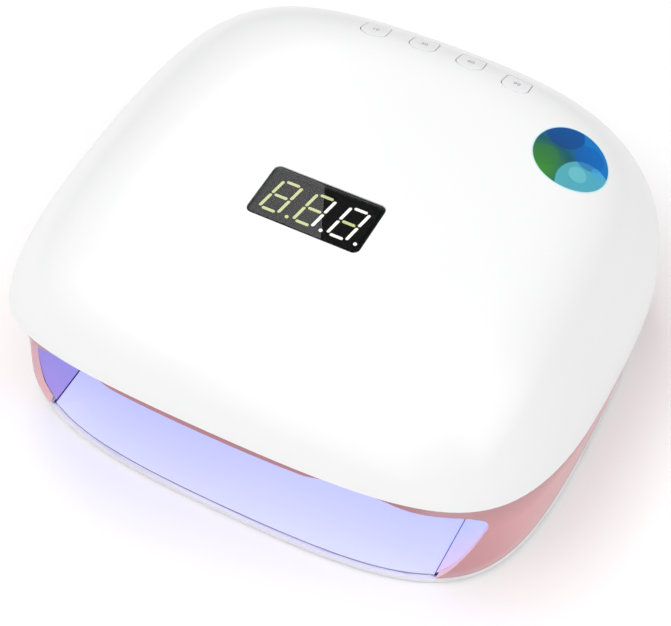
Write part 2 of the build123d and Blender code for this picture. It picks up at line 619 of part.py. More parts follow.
def make_display():
    """The smoked window, the block behind it and three slanted digits with their points."""
    window_corner = WINDOW_CORNER - WINDOW_FIT
    window = display_slab(WINDOW, window_corner, WINDOW_TOP - WINDOW_THICK, WINDOW_THICK)
    module = box(
        (-MODULE[0] / 2, MODULE[0] / 2),
        (WINDOW_Y - MODULE[1] / 2, WINDOW_Y + MODULE[1] / 2),
        (MAIN_BOARD_TOP, MODULE_TOP),
    )
    half, wide = (DIGIT_HEIGHT - STROKE) / 2, (DIGIT_WIDTH - STROKE) / 2
    bars = [(0, level * half, False) for level in (1, 0, -1)]
    bars += [(i * wide, j * half / 2, True) for i in (-1, 1) for j in (-1, 1)]
    lit = []
    for digit_x in (-DIGIT_PITCH, 0, DIGIT_PITCH):
        for x, y, upright in bars:
            bar = segment((half if upright else 2 * wide) - STROKE_GAP, upright)
            slant = y * sin(radians(DIGIT_SLANT)) + DIGIT_SHIFT
            lit.append(extrude(Pos(digit_x + x + slant, WINDOW_Y + y, MODULE_TOP) * bar, amount=LIT_THICK))
        point_place = Pos(digit_x + wide + POINT_OFFSET, WINDOW_Y - half, MODULE_TOP)
        lit.append(extrude(point_place * RegularPolygon(POINT_RADIUS, 8), amount=LIT_THICK))
    return {"display_window": window, "display_module": module, "display_segments": group(lit)}


def make_main_board():
    """The board under the display, with its capacitors, coil, chip and plug socket underneath."""
    half_width, half_depth = MAIN_BOARD[0] / 2, MAIN_BOARD[1] / 2
    under = MAIN_BOARD_TOP - BOARD
    board_y = (WINDOW_Y - half_depth, WINDOW_Y + half_depth)
    board = box((-half_width, half_width), board_y, (under, MAIN_BOARD_TOP))
    capacitors = [
        rod(radius, (x, WINDOW_Y + y, under - tall), tall) for radius, tall, x, y in CAPACITORS
    ]
    blocks = []
    for x, y, tall in (CHIP, COIL, SOCKET):
        blocks.append(box(x, (WINDOW_Y + y[0], WINDOW_Y + y[1]), (under - tall, under)))
    return {"main_board": board, "main_board_parts": group([*capacitors, *blocks])}


def make_led_boards():
    """The flat boards that carry the emitters, each just outside its wall of the chamber."""
    ceiling = box(
        (CEILING_XS[0] - CEILING_MARGIN_X, CEILING_XS[-1] + CEILING_MARGIN_X),
        (CEILING_YS[0] - CEILING_MARGIN_Y, CEILING_YS[-1] + CEILING_MARGIN_Y),
        (CEILING_BOARD_BOTTOM, CEILING_BOARD_BOTTOM + BOARD),
    )
    rear_front = CHAMBER_REAR + BOARD_OFFSET
    rear = box(
        (REAR_BEAD_XS[0] - REAR_BOARD_MARGIN, REAR_BEAD_XS[-1] + REAR_BOARD_MARGIN),
        (rear_front, rear_front + LED_BOARD),
        (REAR_BEAD_Z - REAR_BOARD_HALF_HEIGHT, REAR_BEAD_Z + REAR_BOARD_HALF_HEIGHT),
    )
    nodes = {"led_board_ceiling": ceiling, "led_board_rear": rear}
    length = SIDE_BEAD_YS[-1] - SIDE_BEAD_YS[0] + 2 * SIDE_BOARD_MARGIN
    for side, name in ((LEFT, "led_board_left"), (RIGHT, "led_board_right")):
        middle, inward = side_frame(side, 0, BOARD_OFFSET + LED_BOARD)
        plane = Plane(origin=middle, x_dir=REAR, z_dir=inward)
        nodes[name] = extrude(plane * Rectangle(length, 2 * SIDE_BOARD_HALF_HEIGHT), amount=LED_BOARD)
    return nodes


def make_buttons():
    """Caps flush with the dome, each with a flange under the shell and a stem to its switch's plunger."""
    axis = tuple(BUTTON_AXIS)
    board_top = button_board_middle() - BUTTON_AXIS * BUTTON_BOARD_DEPTH
    board_plane = Plane(origin=board_top - BUTTON_AXIS * BOARD, x_dir=(1, 0, 0), z_dir=BUTTON_AXIS)
    nodes, bodies = {"button_board": extrude(board_plane * Rectangle(*BUTTON_BOARD), amount=BOARD)}, []
    skin = dome(-BUTTON_PROUD)
    for number, place in enumerate(button_places(), start=1):
        cap = button_prism(place, 0, -BUTTON_FLANGE_LOW, BUTTON_CUT) & skin
        cap += button_flange(place, 0, -BUTTON_FLANGE_LOW, -BUTTON_FLANGE_TOP)
        level = (place - board_top).dot(BUTTON_AXIS)
        seat = place - BUTTON_AXIS * level
        stem = level - PLUNGER_TOP - BUTTON_FLANGE_LOW + STEM_BITE
        cap += square_rod(PLUNGER_SIDE, seat + BUTTON_AXIS * PLUNGER_TOP, stem, axis)
        nodes[f"timer_button_{number}"] = cap
        plunger_foot = seat + BUTTON_AXIS * PLUNGER_LOW
        plunger = square_rod(PLUNGER_SIDE, plunger_foot, PLUNGER_TOP - PLUNGER_LOW, axis)
        nodes[f"switch_plunger_{number}"] = plunger
        well = square_rod(SWITCH_WELL, seat + BUTTON_AXIS * SWITCH_WELL_FLOOR, SWITCH_HEIGHT, axis)
        bodies.append(square_rod(SWITCH_SIDE, seat, SWITCH_HEIGHT, axis) - well)
    nodes["switch_bodies"] = group(bodies)
    return nodes


def make_jack():
    """The power inlet: a block with a round nose through the wall, and the pin inside its bore."""
    start_y = JACK_FLOOR_Y - JACK_BACK
    body = box(
        (JACK_X - JACK_HALF_WIDTH, JACK_X + JACK_HALF_WIDTH),
        (start_y, JACK_BLOCK_END),
        (JACK_Z - JACK_BELOW, JACK_Z + JACK_ABOVE),
    )
    nose_y = JACK_BLOCK_END - NOSE_BITE
    body += rod(JACK_NOSE, (JACK_X, nose_y, JACK_Z), JACK_FACE_Y - nose_y, REAR)
    body -= rod(JACK_BORE, (JACK_X, JACK_FLOOR_Y, JACK_Z), JACK_FACE_Y - JACK_FLOOR_Y + PAST, REAR)
    root = rod(JACK_ROOT, (JACK_X, JACK_FLOOR_Y - JACK_BACK / 2, JACK_Z), JACK_BACK / 2, REAR)
    body -= root
    pin = rod(JACK_PIN, (JACK_X, JACK_FLOOR_Y, JACK_Z), JACK_FACE_Y - PIN_SHORT - JACK_FLOOR_Y, REAR)
    tip = pin.faces().sort_by(Axis.Y)[-1].edges()
    return {"dc_jack": body, "dc_jack_pin": chamfer(tip, PIN_CHAMFER) + root}


def make_magnets():
    """Four magnets in the housing's flange, over the base plate's steel."""
    floor = HOUSING_FOOT + MAGNET_FLOOR
    return group([square_rod(MAGNET_SIDE, (x, y, floor), MAGNET_HEIGHT) for x, y in MAGNETS])


def make_screws():
    """Four hexagon-headed screws up through the lugs, their heads under the lugs."""
    seat = LUG_TOP - LUG_THICK
    screws = []
    for x, y in POSTS:
        hexagon = Pos(x, y, seat - SCREW_HEAD_HEIGHT) * RegularPolygon(SCREW_HEAD, 6)
        screws.append(extrude(hexagon, amount=SCREW_HEAD_HEIGHT) + rod(SCREW, (x, y, seat), SCREW_LENGTH))
    return group(screws)


def make_all():
    """Every piece of the lamp under its node's name."""
    nodes = {
        "top_shell": make_top_shell(),
        "lower_housing": make_lower_housing(),
        "chamber_liner": make_chamber_liner(),
        "housing_magnets": make_magnets(),
        "hand_sensor_emitter": make_sensor(LEFT),
        "hand_sensor_receiver": make_sensor(RIGHT),
        "shell_screws": make_screws(),
    }
    makers = (make_beads, make_base, make_display, make_main_board, make_led_boards, make_buttons, make_jack)
    for make in makers:
        nodes.update(make())
    return nodes


os.makedirs("parts", exist_ok=True)
for name, shape in make_all().items():
    export_step(shape, f"parts/{name}.step")
    size = shape.bounding_box().size
    print(name, len(shape.solids()), "solids", [round(v, 1) for v in size])
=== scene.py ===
# %% [markdown]
# # A nail lamp
# The lamp is a white domed shell on a rose housing. A hand goes in under the visor at the front.
# The solids come from the imported frame. This lesson gives them smooth skins and finishes, a few of which
# carry painted light and shade.

# %% Loading the frame
import json
from math import atan2, cos, pi, radians, sin

import bmesh
import bpy
from mathutils import Matrix, Vector
from mathutils.bvhtree import BVHTree

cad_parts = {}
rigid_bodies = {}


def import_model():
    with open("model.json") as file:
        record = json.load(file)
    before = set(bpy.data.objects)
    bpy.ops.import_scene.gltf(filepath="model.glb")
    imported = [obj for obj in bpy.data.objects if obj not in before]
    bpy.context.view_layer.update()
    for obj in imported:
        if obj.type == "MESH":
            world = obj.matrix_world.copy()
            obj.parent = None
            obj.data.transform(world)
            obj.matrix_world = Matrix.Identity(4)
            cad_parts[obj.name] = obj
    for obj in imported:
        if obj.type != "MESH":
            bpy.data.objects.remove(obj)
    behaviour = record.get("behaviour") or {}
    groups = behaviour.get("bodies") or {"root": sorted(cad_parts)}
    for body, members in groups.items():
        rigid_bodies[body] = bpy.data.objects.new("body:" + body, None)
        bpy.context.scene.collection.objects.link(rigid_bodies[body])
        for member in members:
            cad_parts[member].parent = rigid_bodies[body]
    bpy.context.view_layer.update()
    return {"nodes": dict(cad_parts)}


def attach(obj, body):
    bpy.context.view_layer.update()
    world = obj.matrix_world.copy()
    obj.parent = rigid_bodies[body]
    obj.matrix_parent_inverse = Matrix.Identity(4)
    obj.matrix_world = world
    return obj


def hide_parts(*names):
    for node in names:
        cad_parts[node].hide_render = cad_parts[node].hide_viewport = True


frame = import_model()
MM = 0.001

# %% [markdown]
# ## The dome's outline
# Seen from above the lamp is a rounded square. It is made of four quarter curves, and it gets
# rounder towards the crown. The same few lengths drive the solid, so the skin will fit it.

# %% The dome's sections
HALF_WIDTH, FRONT_REACH, REAR_REACH, HEIGHT = 111.0, 100.1, 101.1, 96.45
WIDEST_Y = -1.4
RIM_POWER, CROWN_POWER = 3.75, 2.3
UPRIGHT = {"side": 37.3, "front": 57.1, "rear": 48.5}
SQUARENESS = {"side": 5.4, "front": 5.25, "rear": 8.4}
CLOSING_POWER = 1.56
FLAT_TOP = 95.71
FLATTENS_FROM = 94.5
BULGE_TRIM = 0.008


def kept_share(where, height):
    """Share of the full reach that the dome keeps at a height, on its side, front or rear."""
    rise = (height - UPRIGHT[where]) / (HEIGHT - UPRIGHT[where])
    rise = min(max(rise, 0.0), 1.0)
    return (1 - rise**CLOSING_POWER) ** (1 / SQUARENESS[where])


def dome_section(height):
    """Half width, front reach, rear reach and roundness of the dome at a height."""
    side = kept_share("side", height)
    power = CROWN_POWER + (RIM_POWER - CROWN_POWER) * side
    front = FRONT_REACH * kept_share("front", height)
    return HALF_WIDTH * side, front, REAR_REACH * kept_share("rear", height), power


def plan_point(turn, section):
    """The outline's point at a turn from 0 to 4, one unit for each quarter curve."""
    half, front, rear, power = section
    quarter = int(turn) % 4
    along = turn - int(turn)
    if quarter in (1, 3):
        along = 1 - along
    bulge = (8 * 2 ** (-1 / power) - 4) / 3 + BULGE_TRIM
    back = 1 - along
    across = back**3 + 3 * back**2 * along + 3 * back * along**2 * bulge
    away = 3 * back**2 * along * bulge + 3 * back * along**2 + along**3
    x = across * half * (1 if quarter in (0, 3) else -1)
    y = WIDEST_Y + away * (rear if quarter in (0, 1) else -front)
    return x, y


def drawn(section, inset):
    """A section drawn in by an inset all round."""
    half, front, rear, power = section
    return half - inset, front - inset, rear - inset, power


print("dome at its rim", [round(v, 1) for v in dome_section(36)])

# %% [markdown]
# ## The parting line
# The shell meets the housing on a line that is high at the visor and sinks towards the rear.
# A smooth curve through seven measured points gives its height at any depth.

# %% Height of the parting line
PARTING = [
    (-107.4, 69.1), (-78.0, 54.7), (-51.4, 45.5), (-26.0, 38.9),
    (-1.4, 35.3), (48.6, 32.1), (106.0, 31.0),
]
RIM_GUESS, RIM_ROUNDS = 45.0, 12


def parting_height(y):
    """Height of the parting line, by a smooth curve through the measured points."""
    slopes = []
    for i in range(len(PARTING)):
        before, after = PARTING[max(i - 1, 0)], PARTING[min(i + 1, len(PARTING) - 1)]
        slopes.append((after[1] - before[1]) / (after[0] - before[0]))
    i = 0
    while i < len(PARTING) - 2 and y > PARTING[i + 1][0]:
        i += 1
    (y0, z0), (y1, z1) = PARTING[i], PARTING[i + 1]
    span = y1 - y0
    t = (y - y0) / span
    start = (2 * t**3 - 3 * t**2 + 1) * z0 + (t**3 - 2 * t**2 + t) * span * slopes[i]
    return start + (3 * t**2 - 2 * t**3) * z1 + (t**3 - t**2) * span * slopes[i + 1]


def rim_height(turn, lift, section_at=dome_section):
    """Height where a column of a skin crosses the parting line."""
    height = RIM_GUESS
    for _ in range(RIM_ROUNDS):
        height = parting_height(plan_point(turn, section_at(height))[1]) + lift
    return height


print("rim in front", round(rim_height(3.0, 0), 2), "and at the rear", round(rim_height(1.0, 0), 2))

# %% [markdown]
# ## Raising a skin ring by ring
# A circle of edges is extruded again and again. After each extrusion its points are set on the
# next section. This keeps even rows of four-sided faces, which shade smoothly on a glossy shell.

# %% Helpers for ringed skins
COLUMNS_PER_QUARTER = 36


def verts_of(geometry):
    """The points among what an operator made."""
    return [g for g in geometry if isinstance(g, bmesh.types.BMVert)]


def extrude_ring(bm, edges):
    """Extrudes a ring of edges; returns its new points and its new edges."""
    made = bmesh.ops.extrude_edge_only(bm, edges=edges)["geom"]
    verts = verts_of(made)
    fresh = set(verts)
    return verts, [g for g in made if isinstance(g, bmesh.types.BMEdge) and set(g.verts) <= fresh]


def start_ring(bm, place):
    """A closed ring of edges whose points remember their turn round the lamp."""
    turns = bm.verts.layers.float.new("turn")
    ring = bmesh.ops.create_circle(bm, segments=4 * COLUMNS_PER_QUARTER, radius=1.0)["verts"]
    for vert in ring:
        angle = atan2(vert.co.y, vert.co.x) % (2 * pi)
        vert[turns] = (round(angle / (pi / 2) * COLUMNS_PER_QUARTER) / COLUMNS_PER_QUARTER) % 4
        vert.co = Vector(place(vert[turns])) * MM
    return turns, list(bm.edges)


def raise_ring(bm, edges, turns, place):
    """Extrudes a ring and sets its new points; returns the new ring's edges."""
    verts, edges = extrude_ring(bm, edges)
    for vert in verts:
        vert.co = Vector(place(vert[turns])) * MM
    return edges


def flattened(height):
    """The crown's height once its last millimetres are pressed level, as on the moulding."""
    if height < FLATTENS_FROM:
        return height
    full = HEIGHT - FLATTENS_FROM
    kept = FLAT_TOP - FLATTENS_FROM
    share = (height - FLATTENS_FROM) / full
    square = 3 * kept - 2 * full
    cube = full - 2 * kept
    return FLATTENS_FROM + full * share + square * share**2 + cube * share**3


def ring_mesh(sections):
    """An open skin through place functions; returns its mesh and its last ring of edges."""
    bm = bmesh.new()
    turns, edges = start_ring(bm, sections[0])
    for place in sections[1:]:
        edges = raise_ring(bm, edges, turns, place)
    return bm, edges


# %% [markdown]
# ## From mesh data to a finished piece
# Every piece ends as one object at the origin, with its place in its mesh. Edges that turn
# sharply are marked, so that the rest can be shaded smooth without grey smears.

# %% Helpers for finished pieces
SHARP_TURN = radians(32)


def new_object(name, mesh):
    """Links a mesh into the scene under a name."""
    obj = bpy.data.objects.new(name, mesh)
    bpy.context.scene.collection.objects.link(obj)
    return obj


def mesh_from(bm, name):
    """Turns a bmesh into mesh data and frees it."""
    mesh = bpy.data.meshes.new(name)
    bm.to_mesh(mesh)
    bm.free()
    return mesh


def object_from(bm, name):
    """Makes an object of a bmesh, under one name."""
    return new_object(name, mesh_from(bm, name))


def shade(obj, turn=SHARP_TURN):
    """Smooth faces, with a crease kept wherever two faces meet at more than a turn."""
    bm = bmesh.new()
    bm.from_mesh(obj.data)
    for face in bm.faces:
        face.smooth = True
    for edge in bm.edges:
        edge.smooth = len(edge.link_faces) == 2 and edge.calc_face_angle(pi) < turn
    bm.to_mesh(obj.data)
    bm.free()


def settle(obj):
    """Replaces an object's mesh by its result with all modifiers applied."""
    result = obj.evaluated_get(bpy.context.evaluated_depsgraph_get())
    mesh = bpy.data.meshes.new_from_object(result)
    obj.modifiers.clear()
    obj.data = mesh


def round_edges(obj, width, segments, turn=50):
    """Rounds the edges where faces meet at more than a turn, in millimetres and degrees."""
    step = obj.modifiers.new("rounding", "BEVEL")
    step.width = width * MM
    step.segments = segments
    step.limit_method = "ANGLE"
    step.angle_limit = radians(turn)
    settle(obj)


def give_wall(obj, thickness, even=False):
    """Gives an open skin a wall on its inner side, in millimetres."""
    step = obj.modifiers.new("wall", "SOLIDIFY")
    step.thickness = thickness * MM
    step.offset = -1
    step.use_even_offset = even
    settle(obj)


def face_out(bm, lean):
    """Turns all faces outwards; lean says how far a face looks out as it is."""
    bmesh.ops.recalc_face_normals(bm, faces=bm.faces)
    if sum(lean(face) for face in bm.faces) < 0:
        bmesh.ops.reverse_faces(bm, faces=bm.faces)


def closed_from(bm, name):
    """Closes the open ends of a ringed skin and makes it an object."""
    bmesh.ops.holes_fill(bm, edges=[e for e in bm.edges if e.is_boundary], sides=0)
    bmesh.ops.recalc_face_normals(bm, faces=bm.faces)
    return object_from(bm, name)


def cut(obj, cutter, operation="DIFFERENCE"):
    """Cuts an object with another, which is then removed."""
    step = obj.modifiers.new("cut", "BOOLEAN")
    step.operation = operation
    step.solver = "EXACT"
    step.object = cutter
    settle(obj)
    bpy.data.objects.remove(cutter)


def skin_tree(obj):
    """A search tree over a piece's faces."""
    bm = bmesh.new()
    bm.from_mesh(obj.data)
    tree = BVHTree.FromBMesh(bm)
    bm.free()
    return tree


def dress(obj, body, material, slot, *nodes):
    """Gives a piece its material and its body, and says which CAD nodes it stands for."""
    obj.data.materials.clear()
    obj.data.materials.append(material)
    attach(obj, body)
    if nodes:
        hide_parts(*nodes)
    print(obj.name, len(obj.data.polygons), "faces")
    return obj

# %% [markdown]
# ## Blocks from flat outlines
# Cutters, caps, the pane and the digits all start as a flat outline in millimetres. Its corners
# are rounded while it is flat, which is easy, and then it is drawn out into a block.

# %% Helpers for blocks
def round_corners(bm, verts, offset, segments, clamp=False):
    """Rounds corners of a flat outline."""
    bmesh.ops.bevel(
        bm, geom=verts, offset=offset, segments=segments, profile=0.5, affect="VERTICES",
        material=-1, clamp_overlap=clamp,
    )


def thicken(bm, along):
    """Draws flat faces out along a direction into closed blocks."""
    made = bmesh.ops.extrude_face_region(bm, geom=list(bm.faces))["geom"]
    bmesh.ops.translate(bm, vec=along, verts=verts_of(made))
    bmesh.ops.recalc_face_normals(bm, faces=bm.faces)


def in_metres(bm, name):
    """Makes an object of a bmesh that was drawn in millimetres."""
    bmesh.ops.scale(bm, vec=(MM, MM, MM), verts=bm.verts)
    return object_from(bm, name)


print("1 mm is", MM, "m")

# %% [markdown]
# ## Small steps of a material
# Every finish below is put together from the same few steps: read a coordinate, map a range,
# calculate, and lay one colour over another. Each step adds one node and returns its output.

# %% Node helpers
def feed(tree, socket, value):
    """Gives a socket a plain number, a colour or another node's output."""
    if isinstance(value, bpy.types.NodeSocket):
        tree.links.new(value, socket)
    else:
        socket.default_value = (*value, 1) if isinstance(value, tuple) else value


def placed(tree, axis):
    """A coordinate of the object along one axis, in metres."""
    where = tree.nodes.new("ShaderNodeTexCoord")
    split = tree.nodes.new("ShaderNodeSeparateXYZ")
    feed(tree, split.inputs["Vector"], where.outputs["Object"])
    return split.outputs[axis]


def written(tree, layer, output="Fac"):
    """A value that the mesh carries in a layer."""
    node = tree.nodes.new("ShaderNodeAttribute")
    node.attribute_name = layer
    return node.outputs[output]


def between(tree, source, low, high, start=0.0, end=1.0):
    """Maps a source from one range to another, held at both ends."""
    fit = tree.nodes.new("ShaderNodeMapRange")
    names = ("Value", "From Min", "From Max", "To Min", "To Max")
    for name, value in zip(names, (source, low, high, start, end)):
        feed(tree, fit.inputs[name], value)
    return fit.outputs["Result"]


def calculated(tree, operation, *values):
    """The result of one operation on outputs and plain numbers."""
    node = tree.nodes.new("ShaderNodeMath")
    node.operation = operation
    for socket, value in zip(node.inputs, values):
        feed(tree, socket, value)
    return node.outputs["Value"]


def laid_over(tree, below, colour, share):
    """Lays a colour over another one by a share."""
    mix = tree.nodes.new("ShaderNodeMix")
    mix.data_type = "RGBA"
    for name, value in (("A", below), ("B", colour), ("Factor", share)):
        feed(tree, mix.inputs[name], value)
    return mix.outputs["Result"]


def paint_over(material, colour, share):
    """Lays a colour by a share over what the plastic has so far."""
    tree = material.node_tree
    base = tree.nodes["Principled BSDF"].inputs["Base Color"]
    feed(tree, base, laid_over(tree, base.links[0].from_socket, colour, share))


def lit(material, colour, strength):
    """Adds a glow; its colour and strength are plain values or outputs."""
    tree = material.node_tree
    shader = tree.nodes["Principled BSDF"]
    feed(tree, shader.inputs["Emission Color"], colour)
    feed(tree, shader.inputs["Emission Strength"], strength)
    return material


print("materials so far", len(bpy.data.materials))

# %% [markdown]
# ## Moulded plastic
# A moulded part is never one flat colour. Under a soft light its gloss breathes a little, its
# tint drifts by a percent or two, and the surface has a very fine ripple. Three noise textures on
# object coordinates give that, at sizes in metres.

# %% A moulded plastic material
TINT_SCALE, GLOSS_SCALE, RIPPLE_DEPTH, COAT_ROUGHNESS = 14, 60, 0.0004, 0.08


def moulded(name, dark, light, rough_low, rough_high, ripple=0.02, ripple_scale=900, coat=0.0, metallic=0.0):
    """A moulded plastic: drifting tint, breathing gloss and a fine ripple."""
    material = bpy.data.materials.new(name)
    material.use_nodes = True
    tree = material.node_tree
    where = tree.nodes.new("ShaderNodeTexCoord")
    place = tree.nodes.new("ShaderNodeMapping")
    feed(tree, place.inputs["Vector"], where.outputs["Object"])

    def noise(scale, detail):
        texture = tree.nodes.new("ShaderNodeTexNoise")
        texture.inputs["Scale"].default_value = scale
        texture.inputs["Detail"].default_value = detail
        feed(tree, texture.inputs["Vector"], place.outputs["Vector"])
        return texture.outputs["Fac"]

    bump = tree.nodes.new("ShaderNodeBump")
    bump.inputs["Strength"].default_value = ripple
    bump.inputs["Distance"].default_value = RIPPLE_DEPTH
    feed(tree, bump.inputs["Height"], noise(ripple_scale, 2))
    values = {
        "Base Color": laid_over(tree, dark, light, noise(TINT_SCALE, 2)),
        "Roughness": between(tree, noise(GLOSS_SCALE, 3), 0.0, 1.0, rough_low, rough_high),
        "Normal": bump.outputs["Normal"],
        "Coat Weight": coat,
        "Coat Roughness": COAT_ROUGHNESS,
        "Metallic": metallic,
    }
    for socket, value in values.items():
        feed(tree, tree.nodes["Principled BSDF"].inputs[socket], value)
    return material


SHELL_WHITE = moulded("shell white", (0.82, 0.82, 0.825), (0.84, 0.84, 0.845), 0.285, 0.31, 0.015, 700, 0.2)
HOUSING_ROSE = moulded(
    "housing rose", (0.62, 0.27, 0.29), (0.69, 0.33, 0.35), 0.29, 0.35, 0.015, 700, 0.3, 0.08
)
BASE_WHITE = moulded("base white", (0.78, 0.78, 0.80), (0.84, 0.84, 0.86), 0.29, 0.36, 0.04, 900, 0.1)
print("materials so far", [m.name for m in bpy.data.materials][-3:])

# %% [markdown]
# ## The top shell
# The shell is one glossy moulding. Its rim follows the parting line and its crown is almost flat.
# The outer skin is raised ring by ring, then a Solidify modifier gives it its wall inwards.

# %% The dome skin
RING_COUNT = 44
WALL = 2.2
TOP_RING = HEIGHT - 0.012
RINGS_CROWD = 2.6
CROWN_SHARES = (0.8, 0.6, 0.4, 0.2, 0.06)


def dome_place(height_at):
    """A place function for the ring at a height that may differ from column to column."""

    def place(turn):
        height = height_at(turn)
        return (*plan_point(turn, dome_section(height)), flattened(height))

    return place


def crown_place(share):
    """A place function for a small ring near the pole, drawn in from the last dome ring."""

    def place(turn):
        x, y = plan_point(turn, dome_section(TOP_RING))
        start = flattened(TOP_RING)
        height = start + (FLAT_TOP - start) * (1 - share**2)
        return x * share, WIDEST_Y + (y - WIDEST_Y) * share, height

    return place


def dome_heights(sink=0.0):
    """Place functions from the rim to the crown, closer together where the dome turns over."""
    places = []
    for ring in range(RING_COUNT + 1):
        eased = 1 - (1 - ring / RING_COUNT) ** RINGS_CROWD

        def height_at(turn, eased=eased):
            rim = rim_height(turn, 0.0) - sink
            return rim + (TOP_RING - rim) * eased

        places.append(dome_place(height_at))
    return places + [crown_place(share) for share in CROWN_SHARES]


bm, edges = ring_mesh(dome_heights())
bmesh.ops.contextual_create(bm, geom=edges)
face_out(bm, lambda face: face.normal.z * face.calc_area())
shell = object_from(bm, "shell_skin")
give_wall(shell, WALL, even=True)
print("shell skin", len(shell.data.polygons), "faces")

# %% [markdown]
# ## Openings in the shell
# The display's pane sits in a shallow window, and each timer button has its own hole with a thin
# gap round it. Each opening is a prism with rounded corners that is cut out of the skin.

# %% Rounded prisms
WINDOW_WIDTH, WINDOW_DEPTH, WINDOW_Y, WINDOW_CORNER = 44.0, 23.8, -18.3, 2.6
WINDOW_TOP = 95.65


def rounded_prism(name, corners, radius, low, high, segments=6):
    """A prism over a polygon whose corners are rounded, between two heights, in millimetres."""
    bm = bmesh.new()
    face = bm.faces.new([bm.verts.new((x, y, low)) for x, y in corners])
    round_corners(bm, list(face.verts), radius, segments)
    thicken(bm, (0, 0, high - low))
    return in_metres(bm, name)


def rectangle(width, depth, middle_y):
    """Corners of a rectangle that is centred in x."""
    low, high = middle_y - depth / 2, middle_y + depth / 2
    return [(-width / 2, low), (width / 2, low), (width / 2, high), (-width / 2, high)]


window_cut = rectangle(WINDOW_WIDTH + 0.3, WINDOW_DEPTH + 0.3, WINDOW_Y)
cut(shell, rounded_prism("window_cutter", window_cut, WINDOW_CORNER, 80, 110))
print("window cut, shell has", len(shell.data.polygons), "faces")

# %% [markdown]
# ## Where the buttons sit
# The buttons lie on the rear slope, so each one's prism is tilted back and set on the dome. A
# search up the dome's own sections gives the height under any point of the plan.

# %% Button places
BUTTON_MIDDLE_X, BUTTON_PITCH, BUTTON_Y, ROW_BOW = 6.2, 19.9, 75.9, 0.0026
BUTTON_TILT = radians(21.0)
CAP_HALF, CAP_REAR, CAP_FRONT = 5.4, 4.5, 4.9
CAP_BOW, CAP_BOW_POWER, CAP_CORNER, CAP_DRAFT = 2.2, 2.2, 1.3, 0.5
BUTTON_GAP = 0.35


def dome_height(x, y):
    """Height of the dome's skin over a point of the plan, in millimetres."""
    low, high = 30.0, HEIGHT
    for _ in range(40):
        middle = (low + high) / 2
        half, front, rear, power = dome_section(middle)
        reach = rear if y > WIDEST_Y else front
        outside = reach < 0.01 or abs(x / half) ** power + abs((y - WIDEST_Y) / reach) ** power > 1
        low, high = (low, middle) if outside else (middle, high)
    return flattened((low + high) / 2)


def button_place(index):
    """The point of the skin under the middle of a button."""
    x = BUTTON_MIDDLE_X + (index - 1.5) * BUTTON_PITCH
    y = BUTTON_Y - ROW_BOW * x * x
    return Vector((x, y, dome_height(x, y)))


def cap_prism(name, index, grow, low, high):
    """A button's prism, grown all round, set on the dome and tilted back with it."""
    half, rear, front = CAP_HALF + grow, CAP_REAR + grow, CAP_FRONT + grow
    shares = (-1, -0.66, -0.33, 0, 0.33, 0.66, 1)
    bow = [(half * s, -front + CAP_BOW * abs(s) ** CAP_BOW_POWER) for s in shares]
    corners = bow + [(half - CAP_DRAFT, rear), (-half + CAP_DRAFT, rear)]
    bm = bmesh.new()
    face = bm.faces.new([bm.verts.new((x, y, low)) for x, y in corners])
    turning = [v for v in face.verts if abs(abs(v.co.x) - half) < CAP_DRAFT + 0.1]
    round_corners(bm, turning, CAP_CORNER, 5, clamp=True)
    thicken(bm, (0, 0, high - low))
    place = button_place(index)
    for vert in bm.verts:
        x, y, z = vert.co
        vert.co = place + Vector((
            x, y * cos(BUTTON_TILT) + z * sin(BUTTON_TILT), z * cos(BUTTON_TILT) - y * sin(BUTTON_TILT),
        ))
    return in_metres(bm, name)


for index in range(4):
    cut(shell, cap_prism("button_cutter", index, BUTTON_GAP, -9, 9))
shell.name = "top_shell_skin"
shade(shell)
dress(shell, "lamp", SHELL_WHITE, "shell_white", "top_shell")

# %% [markdown]
# ## The timer buttons
# Each cap is the same curved skin as the shell, cut out by its own prism, so that it lies flush.
# The prism is kept where it overlaps a closed copy of the dome, and its rim is then rounded.

# %% The caps
DOME_SINK = 14.0


def closed_dome(name):
    """The dome as a closed solid that stands up to the skin."""
    bm, edges = ring_mesh(dome_heights(DOME_SINK))
    bmesh.ops.contextual_create(bm, geom=edges)
    return closed_from(bm, name)


CAP_WHITE = moulded("cap white", (0.79, 0.79, 0.80), (0.83, 0.83, 0.84), 0.285, 0.33, 0.03, 900, 0.2)
for index in range(4):
    cap = cap_prism(f"timer_cap_{index + 1}", index, 0.0, -4.0, 6.0)
    cut(cap, closed_dome("cap_dome"), "INTERSECT")
    round_edges(cap, 0.3, 3)
    shade(cap, radians(40))
    dress(cap, f"button_{index + 1}", CAP_WHITE, "cap_white", f"timer_button_{index + 1}")

# %% [markdown]
# ## The lower housing
# The rose housing flares out from the base plate up to the shell's rim. Beside the hand opening
# its corners stand further back than the rim, so the shell overhangs them like a visor.

# %% The housing's sections
HOUSING_FOOT, HOUSING_INSET = 3.7, 0.9
FLARE = {"side": (2.9, 34.0), "front": (7.6, 65.0), "rear": (4.2, 31.0)}
PARTING_GAP = 0.4
SKIN_FOOT, HOUSING_WALL = 5.4, 2.6
CORNER_DRAW = 16.3
DRAW_BOTTOM, DRAW_SIDE, DRAW_FRONT = 11, (68, 26), (30, 35)
HOUSING_RINGS = 26


def drawn_in(where, height):
    """How far the housing stands inside the dome's outline at a height."""
    flare, top = FLARE[where]
    left = max(1 - (height - HOUSING_FOOT) / (top - HOUSING_FOOT), 0.0)
    return HOUSING_INSET + flare * left**1.5


def housing_section(height):
    """Reaches and roundness of the housing at a height."""
    half, front, rear, power = dome_section(height)
    reaches = zip((half, front, rear), ("side", "front", "rear"))
    return (*(reach - drawn_in(where, height) for reach, where in reaches), power)


def housing_rim(turn):
    """Height where the housing ends, just under the parting line."""
    return rim_height(turn, -PARTING_GAP, housing_section)


def held(value):
    """A value kept between 0 and 1."""
    return min(max(value, 0.0), 1.0)


